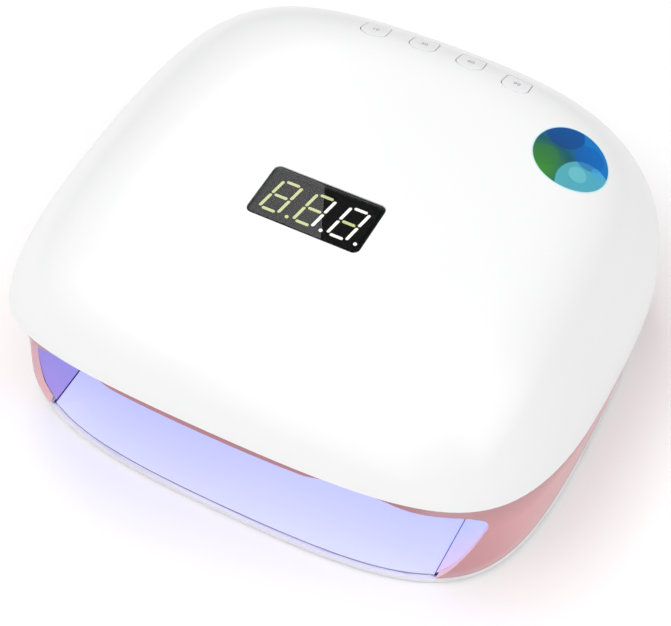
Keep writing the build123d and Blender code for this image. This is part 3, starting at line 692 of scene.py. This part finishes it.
def housing_point(turn, height, inset=0.0):
    """A point of the housing's skin; beside the mouth it stands further back from the shell's rim."""
    x, y = plan_point(turn, drawn(housing_section(max(height, HOUSING_FOOT)), inset))
    if y < WIDEST_Y:
        risen = held((height - DRAW_BOTTOM) / (housing_rim(turn) - DRAW_BOTTOM))
        near_side = held((abs(x) - DRAW_SIDE[0]) / DRAW_SIDE[1])
        near_front = held((-DRAW_FRONT[0] - y) / DRAW_FRONT[1])
        y += CORNER_DRAW * near_side**1.5 * near_front * risen * (1 - risen**4)
    return x, y, height


def housing_place(share, inset=0.0, foot=SKIN_FOOT):
    """A place function for the housing's ring at a share of its height."""
    return lambda turn: housing_point(turn, foot + (housing_rim(turn) - foot) * share, inset)


bm, _ = ring_mesh([housing_place(r / HOUSING_RINGS) for r in range(HOUSING_RINGS + 1)])
face_out(bm, lambda face: face.normal.dot(face.calc_center_median().xy.to_3d()))
housing = object_from(bm, "lower_housing_skin")
give_wall(housing, HOUSING_WALL)
print("housing skin", len(housing.data.polygons), "faces")

# %% [markdown]
# ## The arch of the hand opening
# The opening is an arch with bowed sides. Half of its section is drawn by spinning one point
# round two arcs, and a mirror makes the other half, so both sides are exactly alike.

# %% The arch of the hand opening
FLOOR_HALF, FLOOR_TOP = 80.6, 3.9
BOW, FLAT = (91.85, 23.5), (38.0, 62.3)
SHOULDER, HAUNCH = (97.4, 50.2), (76.0, 57.6)
MOUTH_SHOULDER, MOUTH_HAUNCH = (95.4, 34.0), (76.0, 56.3)
SIDE_STEPS, CROWN_STEPS, ARCH_CORNER = 16, 14, 3.6


def arc_centre(a, b, c):
    """Centre of the circle through three points of a section."""
    (ax, az), (bx, bz), (cx, cz) = a, b, c
    d = 2 * (ax * (bz - cz) + bx * (cz - az) + cx * (az - bz))
    a2, b2, c2 = ax * ax + az * az, bx * bx + bz * bz, cx * cx + cz * cz
    return (
        (a2 * (bz - cz) + b2 * (cz - az) + c2 * (az - bz)) / d,
        (a2 * (cx - bx) + b2 * (ax - cx) + c2 * (bx - ax)) / d,
    )


def spin_arc(bm, vert, a, b, c, steps):
    """Spins a point from a through b to c and returns the last point."""
    cx, cz = arc_centre(a, b, c)
    start, end = atan2(a[1] - cz, a[0] - cx), atan2(c[1] - cz, c[0] - cx)
    angle = (end - start + pi) % (2 * pi) - pi
    made = bmesh.ops.spin(
        bm, geom=[vert], cent=(cx, vert.co.y, cz), axis=(0, -1, 0), angle=angle, steps=steps,
        use_duplicate=False,
    )["geom_last"]
    return verts_of(made)[0]


def arch_outline(start_y, foot, grow, shoulder, haunch):
    """The hand opening's section as one flat face, grown outwards by a distance."""
    sill = (FLOOR_HALF + grow, FLOOR_TOP)
    bow = (BOW[0] + grow * 0.9, BOW[1] - grow * 0.44)
    shoulder = (shoulder[0] + grow, shoulder[1] + grow * 0.9)
    haunch, flat = (haunch[0], haunch[1] + grow), (FLAT[0], FLAT[1] + grow)
    bm = bmesh.new()
    first = bm.verts.new((sill[0], start_y, sill[1]))
    last = spin_arc(bm, first, sill, bow, shoulder, SIDE_STEPS)
    spin_arc(bm, last, shoulder, haunch, flat, CROWN_STEPS)
    bmesh.ops.mirror(bm, geom=list(bm.verts) + list(bm.edges), axis="X", merge_dist=0.0001)
    round_corners(bm, [v for v in bm.verts if abs(v.co.z - shoulder[1]) < 0.01], ARCH_CORNER, 6)
    ends = [v for v in bm.verts if len(v.link_edges) == 1]
    bm.edges.new([v for v in ends if v.co.z > 10])
    low = []
    for vert in [v for v in ends if v.co.z < 10]:
        made = bmesh.ops.extrude_vert_indiv(bm, verts=[vert])["verts"][0]
        made.co.z = foot
        low.append(made)
    bm.edges.new(low)
    bmesh.ops.contextual_create(bm, geom=list(bm.edges))
    return bm


def arch_prism(name, start_y, end_y, foot, grow=0.0, shoulder=SHOULDER, haunch=HAUNCH):
    """The hand opening as a closed prism along y."""
    bm = arch_outline(start_y, foot, grow, shoulder, haunch)
    print(name, "has", len(bm.verts), "points in its section")
    thicken(bm, (0, end_y - start_y, 0))
    return in_metres(bm, name)


mouth = arch_prism("mouth_cutter", -125, -40, -5, 0.0, MOUTH_SHOULDER, MOUTH_HAUNCH)
mouth_tree = skin_tree(mouth)
cut(housing, mouth)

# %% [markdown]
# ## The hole for the power inlet
# The inlet at the rear reaches through the housing's wall. A round cutter makes its hole, a
# little larger than the inlet's nose, as a mould's core pin would leave it.

# %% The inlet's hole
INLET_X, INLET_Z, INLET_HOLE = 34.0, 17.5, 4.55
UPRIGHT_PEG, PEG_TO_REAR = Matrix.Identity(4), Matrix.Rotation(pi / 2, 4, "X")


def peg(bm, middle, turned, across, segments=4, length=9):
    """A square or round peg through a wall, with its flats along the axes when it is square."""
    square = segments == 4
    radius = across / 2 * (2**0.5 if square else 1) * MM
    turn = Matrix.Rotation(pi / 4, 4, "Z") if square else Matrix.Identity(4)
    bmesh.ops.create_cone(
        bm, cap_ends=True, segments=segments, radius1=radius, radius2=radius, depth=length * MM,
        matrix=Matrix.Translation(Vector(middle) * MM) @ turned @ turn,
    )


bm = bmesh.new()
peg(bm, (INLET_X, 100, INLET_Z), PEG_TO_REAR, 2 * INLET_HOLE, 48, 30)
cut(housing, object_from(bm, "inlet_hole"))
print("inlet hole cut, housing has", len(housing.data.polygons), "faces")

# %% [markdown]
# ## Light and shade on the housing
# The chamber's light falls on the cut edge of the opening, and the visor shades the plastic
# under it. The mesh carries both as layers of numbers.

# %% Layers on the mesh
CUT_REACH, VISOR_SHADE = 0.03, 2


def write_layer(obj, kind, layer, value_at):
    """Writes a value on every face or every point of a piece."""
    bm = bmesh.new()
    bm.from_mesh(obj.data)
    items = getattr(bm, kind)
    place = items.layers.float.new(layer)
    for item in items:
        item[place] = value_at(item)
    bm.to_mesh(obj.data)
    bm.free()


def on_cutter(face):
    """1 for a face that lies on the mouth's cutter and 0 for the others."""
    return 1.0 if mouth_tree.find_nearest(face.calc_center_median())[3] < CUT_REACH * MM else 0.0


def under_rim(vert):
    """How far a point lies under the rim, less so where the visor shades it."""
    y = vert.co.y / MM
    return (parting_height(y) - vert.co.z / MM) / (1 + VISOR_SHADE * held((-40 - y) / 30))


write_layer(housing, "faces", "mouth_edge", on_cutter)
write_layer(housing, "verts", "under_rim", under_rim)
print("layers written on", len(housing.data.polygons), "faces and", len(housing.data.vertices), "points")

# %% [markdown]
# ## The housing's finish
# The rose plastic reads both layers. Close under the rim, over the base and at the front it gets
# painted shade, and the cut edge of the opening gets painted light with a painted glow.

# %% The rose finish
# colours of the painted shade under the rim, and of the painted light and glow on the mouth's edge
RIM_PAINTED_SHADE, MOUTH_PAINTED_LIGHT, MOUTH_PAINTED_GLOW = (0.38, 0.15, 0.17), (0.92, 0.55, 0.40), 0.16


def paint_shade_near_edges(material):
    """Paints shade close under the shell's rim, over the base and at the front."""
    tree = material.node_tree
    near_rim = between(tree, written(tree, "under_rim"), 0.8, 9.0, 0.85, 0.0)
    near_foot = between(tree, placed(tree, "Z"), SKIN_FOOT * MM, 9 * MM, 0.6, 0.0)
    near_front = between(tree, placed(tree, "Y"), -86 * MM, -58 * MM, 0.6, 0.0)
    low = calculated(tree, "MAXIMUM", near_rim, near_foot)
    paint_over(material, RIM_PAINTED_SHADE, calculated(tree, "MAXIMUM", low, near_front))


def paint_light_on_mouth(material):
    """Paints light on the marked faces, where the chamber's light falls: a lighter colour and a painted glow.
    """
    tree = material.node_tree
    mark = written(tree, "mouth_edge")
    paint_over(material, MOUTH_PAINTED_LIGHT, mark)
    lit(material, MOUTH_PAINTED_LIGHT, between(tree, mark, 0.0, 1.0, 0.0, MOUTH_PAINTED_GLOW))


# painted shade and painted light laid into the rose plastic
paint_shade_near_edges(HOUSING_ROSE)
paint_light_on_mouth(HOUSING_ROSE)
shade(housing)
dress(housing, "lamp", HOUSING_ROSE, "housing_rose", "lower_housing")

# %% [markdown]
# ## Pieces whose solid is already right
# Some solids need no new shape. Their meshes are loose triangles, so a copy is joined up at its
# corners, its flat faces are merged, and its edges get the small rounding that moulding leaves.

# %% Joined copies of frame pieces
def joined_copy(node, name, rounding=0.0, segments=2):
    """A copy of a frame piece with its corners joined and its edges rounded, in millimetres."""
    bm = bmesh.new()
    bm.from_mesh(frame["nodes"][node].data)
    bmesh.ops.remove_doubles(bm, verts=bm.verts, dist=0.002 * MM)
    bmesh.ops.dissolve_limit(bm, angle_limit=radians(0.4), verts=bm.verts, edges=bm.edges)
    obj = new_object(name, mesh_from(bm, name))
    if rounding:
        round_edges(obj, rounding, segments)
    shade(obj, radians(30))
    return obj


print("frame pieces", len(frame["nodes"]))

# %% [markdown]
# ## The base plate
# The lamp stands on a thin plate that lifts off. Its copy gets a low rim, which hides the foot of
# the housing, with a gap in front of the hand opening.

# %% The base and its rim
BASE_PLAN = (107.5, 91.6, 95.9, 3.6)
RIM_LOW, RIM_HIGH, RIM_WIDTH = 2.6, 5.1, 2.4


def base_place(inset, height):
    """A place function for a level ring inside the base's outline."""
    return lambda turn: (*plan_point(turn, drawn(BASE_PLAN, inset)), height)


def base_rim(name):
    """The low rim that runs round the base, outside the mouth."""
    section = ((0, RIM_LOW), (0, RIM_HIGH), (RIM_WIDTH, RIM_HIGH), (RIM_WIDTH, RIM_LOW), (0, RIM_LOW))
    bm, _ = ring_mesh([base_place(inset, height) for inset, height in section])
    bmesh.ops.remove_doubles(bm, verts=bm.verts, dist=0.001 * MM)
    bmesh.ops.recalc_face_normals(bm, faces=bm.faces)
    rim = object_from(bm, name)
    gap = rectangle(2 * FLOOR_HALF + 3.4, 60, -100)
    cut(rim, rounded_prism("mouth_gap", gap, 0.4, 0, 10, 2))
    return rim


base = joined_copy("base_plate", "base_plate_skin")
cut(base, base_rim("base_rim"), "UNION")
round_edges(base, 0.7, 3)
shade(base, radians(30))


def band(tree, source, *limits):
    """1 inside a band and 0 outside it; two limits for its start and two for its end, in millimetres."""
    start, full, fading, end = (limit * MM for limit in limits)
    rise = between(tree, source, start, full)
    return calculated(tree, "MULTIPLY", rise, between(tree, source, fading, end, 1.0, 0.0))


def paint_gap_shade(material):
    """Paints shade on the bottom of the narrow gap between the floor sheet and the liner."""
    tree = material.node_tree
    share = band(tree, calculated(tree, "ABSOLUTE", placed(tree, "X")), 79.2, 79.4, 81.6, 81.8)
    for axis, limits in (("Z", (3.34, 3.36, 3.42, 3.5)), ("Y", (-82, -81, 71, 72))):
        share = calculated(tree, "MULTIPLY", share, band(tree, placed(tree, axis), *limits))
    paint_over(material, (0.03, 0.027, 0.13), share)
    return material


dress(base, "base", paint_gap_shade(BASE_WHITE), "base_white", "base_plate")

# %% [markdown]
# ## The lit chamber
# Inside, bright walls and a floor sheet spread the light of the emitters. Both carry painted
# light: a lilac glow of their own besides their gloss.

# %% Finishes with painted light
# colours of the liner's painted light, of the left wall's painted shade and of the floor sheet's painted light
LINER_FRONT, LINER_DEEP, LEFT_PAINTED_SHADE = (0.60, 0.26, 0.76), (0.36, 0.44, 0.90), (0.34, 0.28, 0.58)
SHEET_PAINTED_LIGHT_COLOUR, SHEET_PAINTED_LIGHT_STRENGTH = (0.56, 0.61, 1.0), 0.42


def liner_painted_light():
    """Painted light: the walls glow more to the right and turn bluer inwards; the left gets a darker painted
    shade.
    """
    material = moulded("liner painted light", (0.56, 0.54, 0.70), (0.62, 0.60, 0.76), 0.29, 0.35, 0.015, 500, 0.2)
    tree = material.node_tree
    inwards = between(tree, placed(tree, "Y"), -82 * MM, -62 * MM)
    across = placed(tree, "X")
    strength = between(tree, across, -80 * MM, 85 * MM, 0.23, 0.56)
    paint_over(material, LEFT_PAINTED_SHADE, between(tree, across, -80 * MM, 0.0, 0.85, 0.0))
    return lit(material, laid_over(tree, LINER_FRONT, LINER_DEEP, inwards), strength)


def sheet_painted_light_finish():
    """Painted light: the sheet glows on its top face only, so that its cut sides stay dark."""
    material = moulded(
        "floor sheet painted light", (0.48, 0.50, 0.72), (0.54, 0.56, 0.76), 0.34, 0.42, 0.04, 800, 0.15, 0.1
    )
    tree = material.node_tree
    facing = tree.nodes.new("ShaderNodeNewGeometry")
    split = tree.nodes.new("ShaderNodeSeparateXYZ")
    feed(tree, split.inputs["Vector"], facing.outputs["Normal"])
    return lit(material, SHEET_PAINTED_LIGHT_COLOUR, between(tree, split.outputs["Z"], 0.75, 0.95, 0.0, SHEET_PAINTED_LIGHT_STRENGTH))


LINER_WITH_PAINTED_LIGHT, SHEET_WITH_PAINTED_LIGHT = liner_painted_light(), sheet_painted_light_finish()
print("glows", LINER_WITH_PAINTED_LIGHT.name, SHEET_WITH_PAINTED_LIGHT.name)

# %% [markdown]
# ## The liner
# The liner is one arch with a rear wall, from inside the housing's front to the back of the
# chamber. One arch is cut out of a larger one, and the emitters and sensors get their holes.

# %% The liner's walls
LINER_FOOT, LINER_WALL, CHAMBER_REAR = 4.2, 1.2, 72.6
ROOM_TOP, ROOM_BOTTOM = 66.0, 1.7


def housing_room(name, inset):
    """The room inside the housing and up under the dome as a closed solid, drawn in by an inset."""

    def raised(turn):
        x, y, height = housing_place(1, inset)(turn)
        return x, y, max(height + 2.0, ROOM_TOP)

    shares = [ring / HOUSING_RINGS for ring in range(HOUSING_RINGS + 1)]
    bm, _ = ring_mesh([housing_place(share, inset, ROOM_BOTTOM) for share in shares] + [raised])
    return closed_from(bm, name)


liner = arch_prism("chamber_liner_skin", -120, CHAMBER_REAR + LINER_WALL, LINER_FOOT, LINER_WALL)
cut(liner, arch_prism("chamber_room", -125, CHAMBER_REAR, -5))
cut(liner, housing_room("housing_room", HOUSING_WALL - 0.1), "INTERSECT")
print("liner walls", len(liner.data.polygons), "faces")

# %% [markdown]
# ## Holes for emitters and sensors
# Each emitter shines through a square hole and each hand sensor through a round one. Their places
# repeat in rows, so loops set one peg for each, and all pegs are cut in one go.

# %% The liner's holes
CEILING_XS, CEILING_YS = (-45, -15, 15, 45), (-52, -20, 12, 44)
SIDE_YS, REAR_XS, REAR_Z = (-24, -8, 8, 24), (-60, -30, 0, 30, 60), 30
SENSOR_Y, SENSOR_RADIUS, HOLE = -52, 2.6, 5.0
SIDE_LEAN = radians(21)
CEILING_Z = 62
bm = bmesh.new()
for x in CEILING_XS:
    for y in CEILING_YS:
        peg(bm, (x, y, CEILING_Z), UPRIGHT_PEG, HOLE)
for x in REAR_XS:
    peg(bm, (x, CHAMBER_REAR, REAR_Z), PEG_TO_REAR, HOLE)
for side in (-1, 1):
    lean = Matrix.Rotation(side * (pi / 2 - SIDE_LEAN + pi), 4, "Y")
    for y in SIDE_YS:
        peg(bm, (side * BOW[0], y, BOW[1]), lean, HOLE)
    peg(bm, (side * BOW[0], SENSOR_Y, BOW[1]), lean, 2 * SENSOR_RADIUS, 24)
cut(liner, object_from(bm, "holes"))
shade(liner, radians(25))
dress(liner, "lamp", LINER_WITH_PAINTED_LIGHT, "liner_silver", "chamber_liner")

# %% [markdown]
# ## The floor sheet
# The reflecting sheet is a joined copy of its solid. It is a little wider here, so that the seam
# beside it is as narrow as in the photo.

# %% The floor sheet
SHEET_REACH = 0.6
sheet = joined_copy("floor_reflector", "floor_sheet", 0.2)
for vert in sheet.data.vertices:
    if abs(vert.co.x) > 79 * MM:
        vert.co.x += SHEET_REACH * MM * (1 if vert.co.x > 0 else -1)
dress(sheet, "base", SHEET_WITH_PAINTED_LIGHT, "reflector", "floor_reflector")

# %% [markdown]
# ## The display
# A smoked pane covers three lit digits. Real panes are tinted glass over a black block, so the
# pane lets light through, and the digits under it shine by themselves.

# %% The pane
def glass(name, tint, roughness):
    """A tinted see-through finish with a trace of unevenness."""
    material = moulded(name, tint, tuple(v * 1.05 for v in tint), roughness, roughness + 0.004, 0.0, 400)
    shader = material.node_tree.nodes["Principled BSDF"]
    shader.inputs["Transmission Weight"].default_value = 1.0
    shader.inputs["IOR"].default_value = 1.3
    return material


pane = rounded_prism(
    "display_pane", rectangle(WINDOW_WIDTH, WINDOW_DEPTH, WINDOW_Y), WINDOW_CORNER - 0.15,
    WINDOW_TOP - 1.3, WINDOW_TOP,
)
round_edges(pane, 0.45, 3, 60)
shade(pane, radians(8))
dress(pane, "lamp", glass("smoked pane", (0.42, 0.42, 0.43), 0.0), "window_black", "display_window")

# %% [markdown]
# ## Lit digits
# The left digits shine pale green and the right one white. The change sits at the right bars of
# the middle digit, and the right digit's middle bar is green again.

# %% The digits
GREEN_LIGHT, WHITE_LIGHT = (0.56, 0.59, 0.25), (1.0, 1.0, 0.96)
WHITE_FROM = 2.2
MIDDLE_BAR = 1.2
DIGIT_GLOW = 2.5


def digit_finish():
    """Lit segments: pale green, with white bars on the right."""
    material = moulded("lit digits", (0.5, 0.5, 0.42), (0.6, 0.6, 0.5), 0.5, 0.6)
    tree = material.node_tree
    x, y = placed(tree, "X"), placed(tree, "Y")
    leant = calculated(tree, "MULTIPLY_ADD", y, -0.14, x)
    right = between(tree, leant, (WHITE_FROM + 2.4) * MM, (WHITE_FROM + 2.6) * MM)
    middle = calculated(tree, "COMPARE", y, WINDOW_Y * MM, MIDDLE_BAR / 2 * MM)
    white = calculated(tree, "MULTIPLY", right, between(tree, middle, 1.0, 0.0))
    return lit(material, laid_over(tree, GREEN_LIGHT, WHITE_LIGHT, white), DIGIT_GLOW)


def repaint(node, material):
    """Gives a frame piece that keeps its solid a better finish."""
    data = frame["nodes"][node].data
    data.materials.clear()
    data.materials.append(material)
    print(node, "wears", material.name)


DIGIT_HEIGHT, DIGIT_WIDTH, DIGIT_PITCH, DIGIT_SHIFT = 15.4, 8.4, 13.4, -0.6
STROKE, BAR_LENGTH, POST_LENGTH, LEAN = 1.1, 5.0, 6.5, 0.16
POINT_RADIUS, POINT_SHIFT = 0.7, 1.9


def bar(bm, middle, across, along, lean):
    """One bar of a digit as a flat block with clipped corners."""
    known = set(bm.verts)
    made = bmesh.ops.create_grid(bm, x_segments=1, y_segments=1, size=0.5)["verts"]
    bmesh.ops.scale(bm, vec=(across, along, 1), verts=made)
    round_corners(bm, made, 0.3 * STROKE, 1)
    for vert in bm.verts:
        if vert not in known:
            x, y, _ = vert.co
            vert.co = Vector((middle[0] + x + y * lean, middle[1] + y, 0))


bm = bmesh.new()
half, wide = (DIGIT_HEIGHT - STROKE) / 2, (DIGIT_WIDTH - STROKE) / 2
for digit_x in (-DIGIT_PITCH, 0, DIGIT_PITCH):
    centre = digit_x + DIGIT_SHIFT
    for level in (-1, 0, 1):
        bar(bm, (centre + level * half * LEAN, WINDOW_Y + level * half), BAR_LENGTH, STROKE, 0.0)
    for i in (-1, 1):
        for j in (-0.5, 0.5):
            bar(bm, (centre + i * wide + j * half * LEAN, WINDOW_Y + j * half), STROKE, POST_LENGTH, LEAN)
    dot = bmesh.ops.create_circle(bm, cap_ends=True, segments=12, radius=POINT_RADIUS)["verts"]
    bmesh.ops.translate(bm, vec=(digit_x + wide + POINT_SHIFT, WINDOW_Y - half, 0), verts=dot)
solid = frame["nodes"]["display_segments"]
levels = [(solid.matrix_world @ Vector(corner)).z for corner in solid.bound_box]
bmesh.ops.scale(bm, vec=(MM, MM, MM), verts=bm.verts)
bmesh.ops.translate(bm, vec=(0, 0, min(levels)), verts=bm.verts)
thicken(bm, (0, 0, max(levels) - min(levels)))
digits = object_from(bm, "display_digits")
shade(digits, radians(25))
dress(digits, "lamp", digit_finish(), "segment_lit", "display_segments")
MODULE_BLACK = moulded("module black", (0.003, 0.003, 0.003), (0.005, 0.005, 0.005), 0.7, 0.8, 0.1, 1200)
repaint("display_module", MODULE_BLACK)

# %% [markdown]
# ## Figures on the buttons
# Each timer button carries its seconds in small grey figures. A print is a flat mesh that is laid
# on the mesh below by casting rays, so that it follows the cap's curve.

# %% Laying flat pieces on a skin
def lay_on(bm, tree, origin, right, ahead, lift):
    """Drops the points of a flat mesh onto a skin, along the normal of their own plane."""
    out = right.cross(ahead)
    for vert in bm.verts:
        start = origin + right * vert.co.x + ahead * vert.co.y + out * 20 * MM
        hit, normal, _, _ = tree.ray_cast(start, -out, 60 * MM)
        vert.co = hit + normal * lift * (1 if normal.dot(out) > 0 else -1)


GREY_PRINT = moulded("grey print", (0.24, 0.24, 0.25), (0.3, 0.3, 0.31), 0.45, 0.6, 0.02, 2000)
SECONDS = ("10", "30", "60", "99")
FIGURE_SIZE, FIGURE_LIFT = 2.9, 0.03
for index, figures in enumerate(SECONDS):
    writing = bpy.data.curves.new("figures", "FONT")
    writing.body = figures
    writing.size = FIGURE_SIZE * MM
    writing.align_x, writing.align_y = "CENTER", "CENTER"
    carrier = new_object("figures", writing)
    flat = bpy.data.meshes.new_from_object(carrier.evaluated_get(bpy.context.evaluated_depsgraph_get()))
    bpy.data.objects.remove(carrier)
    bm = bmesh.new()
    bm.from_mesh(flat)
    bmesh.ops.triangulate(bm, faces=bm.faces)
    cap = bpy.data.objects[f"timer_cap_{index + 1}"]
    ahead = Vector((0, cos(BUTTON_TILT), -sin(BUTTON_TILT)))
    lay_on(bm, skin_tree(cap), button_place(index) * MM, Vector((1, 0, 0)), ahead, FIGURE_LIFT * MM)
    label = new_object(f"timer_figures_{index + 1}", mesh_from(bm, "figures"))
    dress(label, f"button_{index + 1}", GREY_PRINT, "cap_white")

# %% [markdown]
# ## The round print
# A round print sits on the dome's rear corner. It is a disc of rings, laid on the shell in the
# same way, and its points remember where on the flat disc they came from.

# %% The round print
PRINT_CENTRE = Vector((68.6, 48.5, 91.6)) * MM
PRINT_RADIUS = 15.3
PRINT_RINGS = 12
PRINT_LIFT, PRINT_SEGMENTS = 0.1, 72


def round_print(name):
    """A thin disc of rings laid on the shell; its points keep their place on the disc."""
    bm = bmesh.new()
    bmesh.ops.create_circle(bm, segments=PRINT_SEGMENTS, radius=PRINT_RADIUS * MM)
    edges = list(bm.edges)
    for step in range(PRINT_RINGS - 1, 0, -1):
        verts, edges = extrude_ring(bm, edges)
        bmesh.ops.scale(bm, vec=(step / (step + 1),) * 3, verts=verts)
    bmesh.ops.contextual_create(bm, geom=edges)
    disc = bm.verts.layers.float_vector.new("disc")
    for vert in bm.verts:
        vert[disc] = vert.co / (PRINT_RADIUS * MM)
    tree = skin_tree(shell)
    _, out, _, _ = tree.find_nearest(PRINT_CENTRE)
    right = Vector((0, 1, 0)).cross(out).normalized()
    lay_on(bm, tree, PRINT_CENTRE, right, out.cross(right), PRINT_LIFT * MM)
    face_out(bm, lambda face: face.normal.z)
    return object_from(bm, name)


sticker = round_print("round_print")
print("round print", len(sticker.data.polygons), "faces")

# %% [markdown]
# ## What is printed on it
# The print is a ground that runs from green to blue, with see-through bubbles of cyan and deep
# blue over each other and a pale rim. Each bubble is a distance from its own middle.

# %% The print's finish
BUBBLES = (
    ((0.62, -0.62, 0), 0.78, (0.09, 0.42, 0.50), 0.8),
    ((-0.42, 0.62, 0), 0.50, (0.004, 0.05, 0.24), 0.75),
    ((0.36, 0.30, 0), 0.40, (0.003, 0.10, 0.42), 0.6),
    ((-0.58, -0.30, 0), 0.34, (0.03, 0.17, 0.04), 0.6),
    ((0.30, -0.38, 0), 0.24, (0.16, 0.52, 0.56), 0.6),
    ((0.68, 0.02, 0), 0.16, (0.05, 0.34, 0.66), 0.6),
)

def print_finish():
    """The print's ground, its bubbles and its rim."""
    material = moulded("round print", (0.02, 0.1, 0.3), (0.03, 0.3, 0.3), 0.45, 0.55, 0.02, 900)
    tree = material.node_tree
    shader = tree.nodes["Principled BSDF"]
    shader.inputs["Specular IOR Level"].default_value = 0.25
    place = written(tree, "disc", "Vector")

    def distance(middle):
        node = tree.nodes.new("ShaderNodeVectorMath")
        node.operation = "DISTANCE"
        feed(tree, node.inputs[0], place)
        node.inputs[1].default_value = middle
        return node.outputs["Value"]

    ground = tree.nodes.new("ShaderNodeValToRGB")
    ground.color_ramp.elements[0].color = (0.04, 0.22, 0.03, 1)
    ground.color_ramp.elements[1].color = (0.003, 0.17, 0.50, 1)
    ground.color_ramp.elements.new(0.45).color = (0.01, 0.09, 0.12, 1)
    feed(tree, ground.inputs["Fac"], between(tree, distance((-0.7, -0.75, 0)), 0.3, 1.7))
    colour = ground.outputs["Color"]
    for middle, radius, tint, strength in BUBBLES:
        inside = between(tree, distance(middle), radius - 0.02, radius, strength, 0.0)
        colour = laid_over(tree, colour, tint, inside)
    rim = between(tree, distance((0, 0, 0)), 0.955, 0.975)
    feed(tree, shader.inputs["Base Color"], laid_over(tree, colour, (0.62, 0.80, 0.84), rim))
    return material


give_wall(sticker, PRINT_LIFT)
shade(sticker, radians(40))
dress(sticker, "lamp", print_finish(), "shell_white")

# %% [markdown]
# ## Inlet, feet and the parts inside
# The power inlet shows at the rear and the feet underneath. The boards, emitters and switches
# are inside, and each still gets the finish of its own real material.

# %% Metal, rubber and boards
JACK_BLACK = moulded("inlet black", (0.012, 0.012, 0.013), (0.02, 0.02, 0.021), 0.35, 0.5, 0.1, 1500)
RUBBER = moulded("foot rubber", (0.016, 0.016, 0.017), (0.025, 0.025, 0.026), 0.75, 0.9, 0.25, 2500)
STEEL = moulded("plated steel", (0.5, 0.5, 0.52), (0.6, 0.6, 0.62), 0.3, 0.42, 0.06, 3000, 0.0, 1.0)
MAGNET = moulded("magnet plating", (0.3, 0.3, 0.31), (0.36, 0.36, 0.37), 0.3, 0.4, 0.05, 3000, 0.0, 1.0)
BOARD_GREEN = moulded("board green", (0.01, 0.10, 0.04), (0.02, 0.16, 0.06), 0.35, 0.5, 0.2, 800, 0.3)
BOARD_WHITE = moulded("board white", (0.72, 0.72, 0.72), (0.8, 0.8, 0.79), 0.4, 0.55, 0.1, 900)
CHIP = moulded("moulded parts", (0.015, 0.015, 0.016), (0.03, 0.03, 0.032), 0.5, 0.7, 0.2, 2000)
LENS = moulded("emitter lens", (0.7, 0.62, 0.35), (0.8, 0.72, 0.45), 0.15, 0.25, 0.02, 2000, 0.5)
lit(LENS, (0.45, 0.35, 1.0), 2.5)
SENSOR = moulded("sensor lens", (0.02, 0.005, 0.03), (0.04, 0.01, 0.05), 0.08, 0.15, 0.02, 2000, 0.5)

dress(joined_copy("dc_jack", "inlet_body", 0.25), "lamp", JACK_BLACK, "jack", "dc_jack")
dress(joined_copy("dc_jack_pin", "inlet_pin", 0.15), "lamp", STEEL, "pin_metal", "dc_jack_pin")
dress(joined_copy("rubber_feet", "rubber_feet_soft", 0.4), "base", RUBBER, "foot_rubber", "rubber_feet")
WALLS = ("ceiling", "rear", "left", "right")
FINISHES = (
    (MAGNET, "housing_magnets"),
    (STEEL, "steel_plates", "shell_screws"),
    (BOARD_GREEN, "main_board", "button_board"),
    (CHIP, "main_board_parts", "switch_bodies", *(f"switch_plunger_{n}" for n in (1, 2, 3, 4))),
    (BOARD_WHITE, *(f"led_board_{wall}" for wall in WALLS)),
    (LENS, *(f"led_beads_{wall}" for wall in WALLS)),
    (SENSOR, "hand_sensor_emitter", "hand_sensor_receiver"),
)
for finish, *nodes in FINISHES:
    for node in nodes:
        repaint(node, finish)

# %% [markdown]
# ## The camera
# The camera looks down from the front right with a long lens, so that the lamp's edges stay
# nearly parallel, as in the product photo.

# %% Camera
camera = bpy.data.objects.new("camera", bpy.data.cameras.new("camera"))
camera.data.lens = 92.89
camera.data.sensor_width = 36
camera.location = (0.19106, -0.36744, 0.55027)
camera.rotation_euler = Vector((-0.28475, 0.54192, -0.79072)).to_track_quat("-Z", "Y").to_euler()
camera.data.clip_end = 20
bpy.context.scene.collection.objects.link(camera)
bpy.context.scene.camera = camera
print("camera at", [round(v, 3) for v in camera.location])

# %% [markdown]
# ## Floor and lights
# The lamp stands on a pale floor. Large area lights give soft shadows, because a small light would
# draw a hard edge on the glossy shell.

# %% Floor and lights
bm = bmesh.new()
bmesh.ops.create_grid(bm, x_segments=2, y_segments=2, size=3.0)
floor = object_from(bm, "studio_floor")
floor.data.materials.append(moulded("floor paper", (0.92, 0.92, 0.92), (0.94, 0.94, 0.94), 0.6, 0.7, 0.02, 300))


def softbox(name, place, target, size, power):
    """A large square area light that looks at a target."""
    light = bpy.data.lights.new(name, "AREA")
    light.shape = "SQUARE"
    light.size = size
    light.energy = power
    obj = bpy.data.objects.new(name, light)
    obj.location = place
    obj.rotation_euler = (Vector(target) - Vector(place)).to_track_quat("-Z", "Y").to_euler()
    bpy.context.scene.collection.objects.link(obj)
    return obj


softbox("key_light", (-0.7, -0.6, 1.3), (0, 0, 0.05), 1.0, 6)
softbox("ceiling_light", (0.25, -0.35, 1.7), (0.25, -0.35, 0), 2.4, 23.7)
softbox("front_light", (0.15, -1.5, 1.0), (0, 0, 0.05), 1.6, 7.5)
softbox("right_light", (1.3, 0.1, 0.7), (0, 0, 0.05), 1.0, 5)
# the panel whose straight edge shows on the display's pane
panel_light = softbox("panel_light", (-1.03, 0.95, 1.6), (-1.03, 0.95, 0), 0.9, 8.5)
panel_light.data.shape = "RECTANGLE"
panel_light.data.size_y = 1.2
panel_light.rotation_euler = (0, 0, radians(24.6))
world = bpy.data.worlds.new("studio")
world.use_nodes = True
world.node_tree.nodes["Background"].inputs["Color"].default_value = (1, 1, 1, 1)
world.node_tree.nodes["Background"].inputs["Strength"].default_value = 0.22
bpy.context.scene.world = world
bpy.context.scene.view_settings.view_transform = "Standard"
print("lights", [light.name for light in bpy.data.lights])
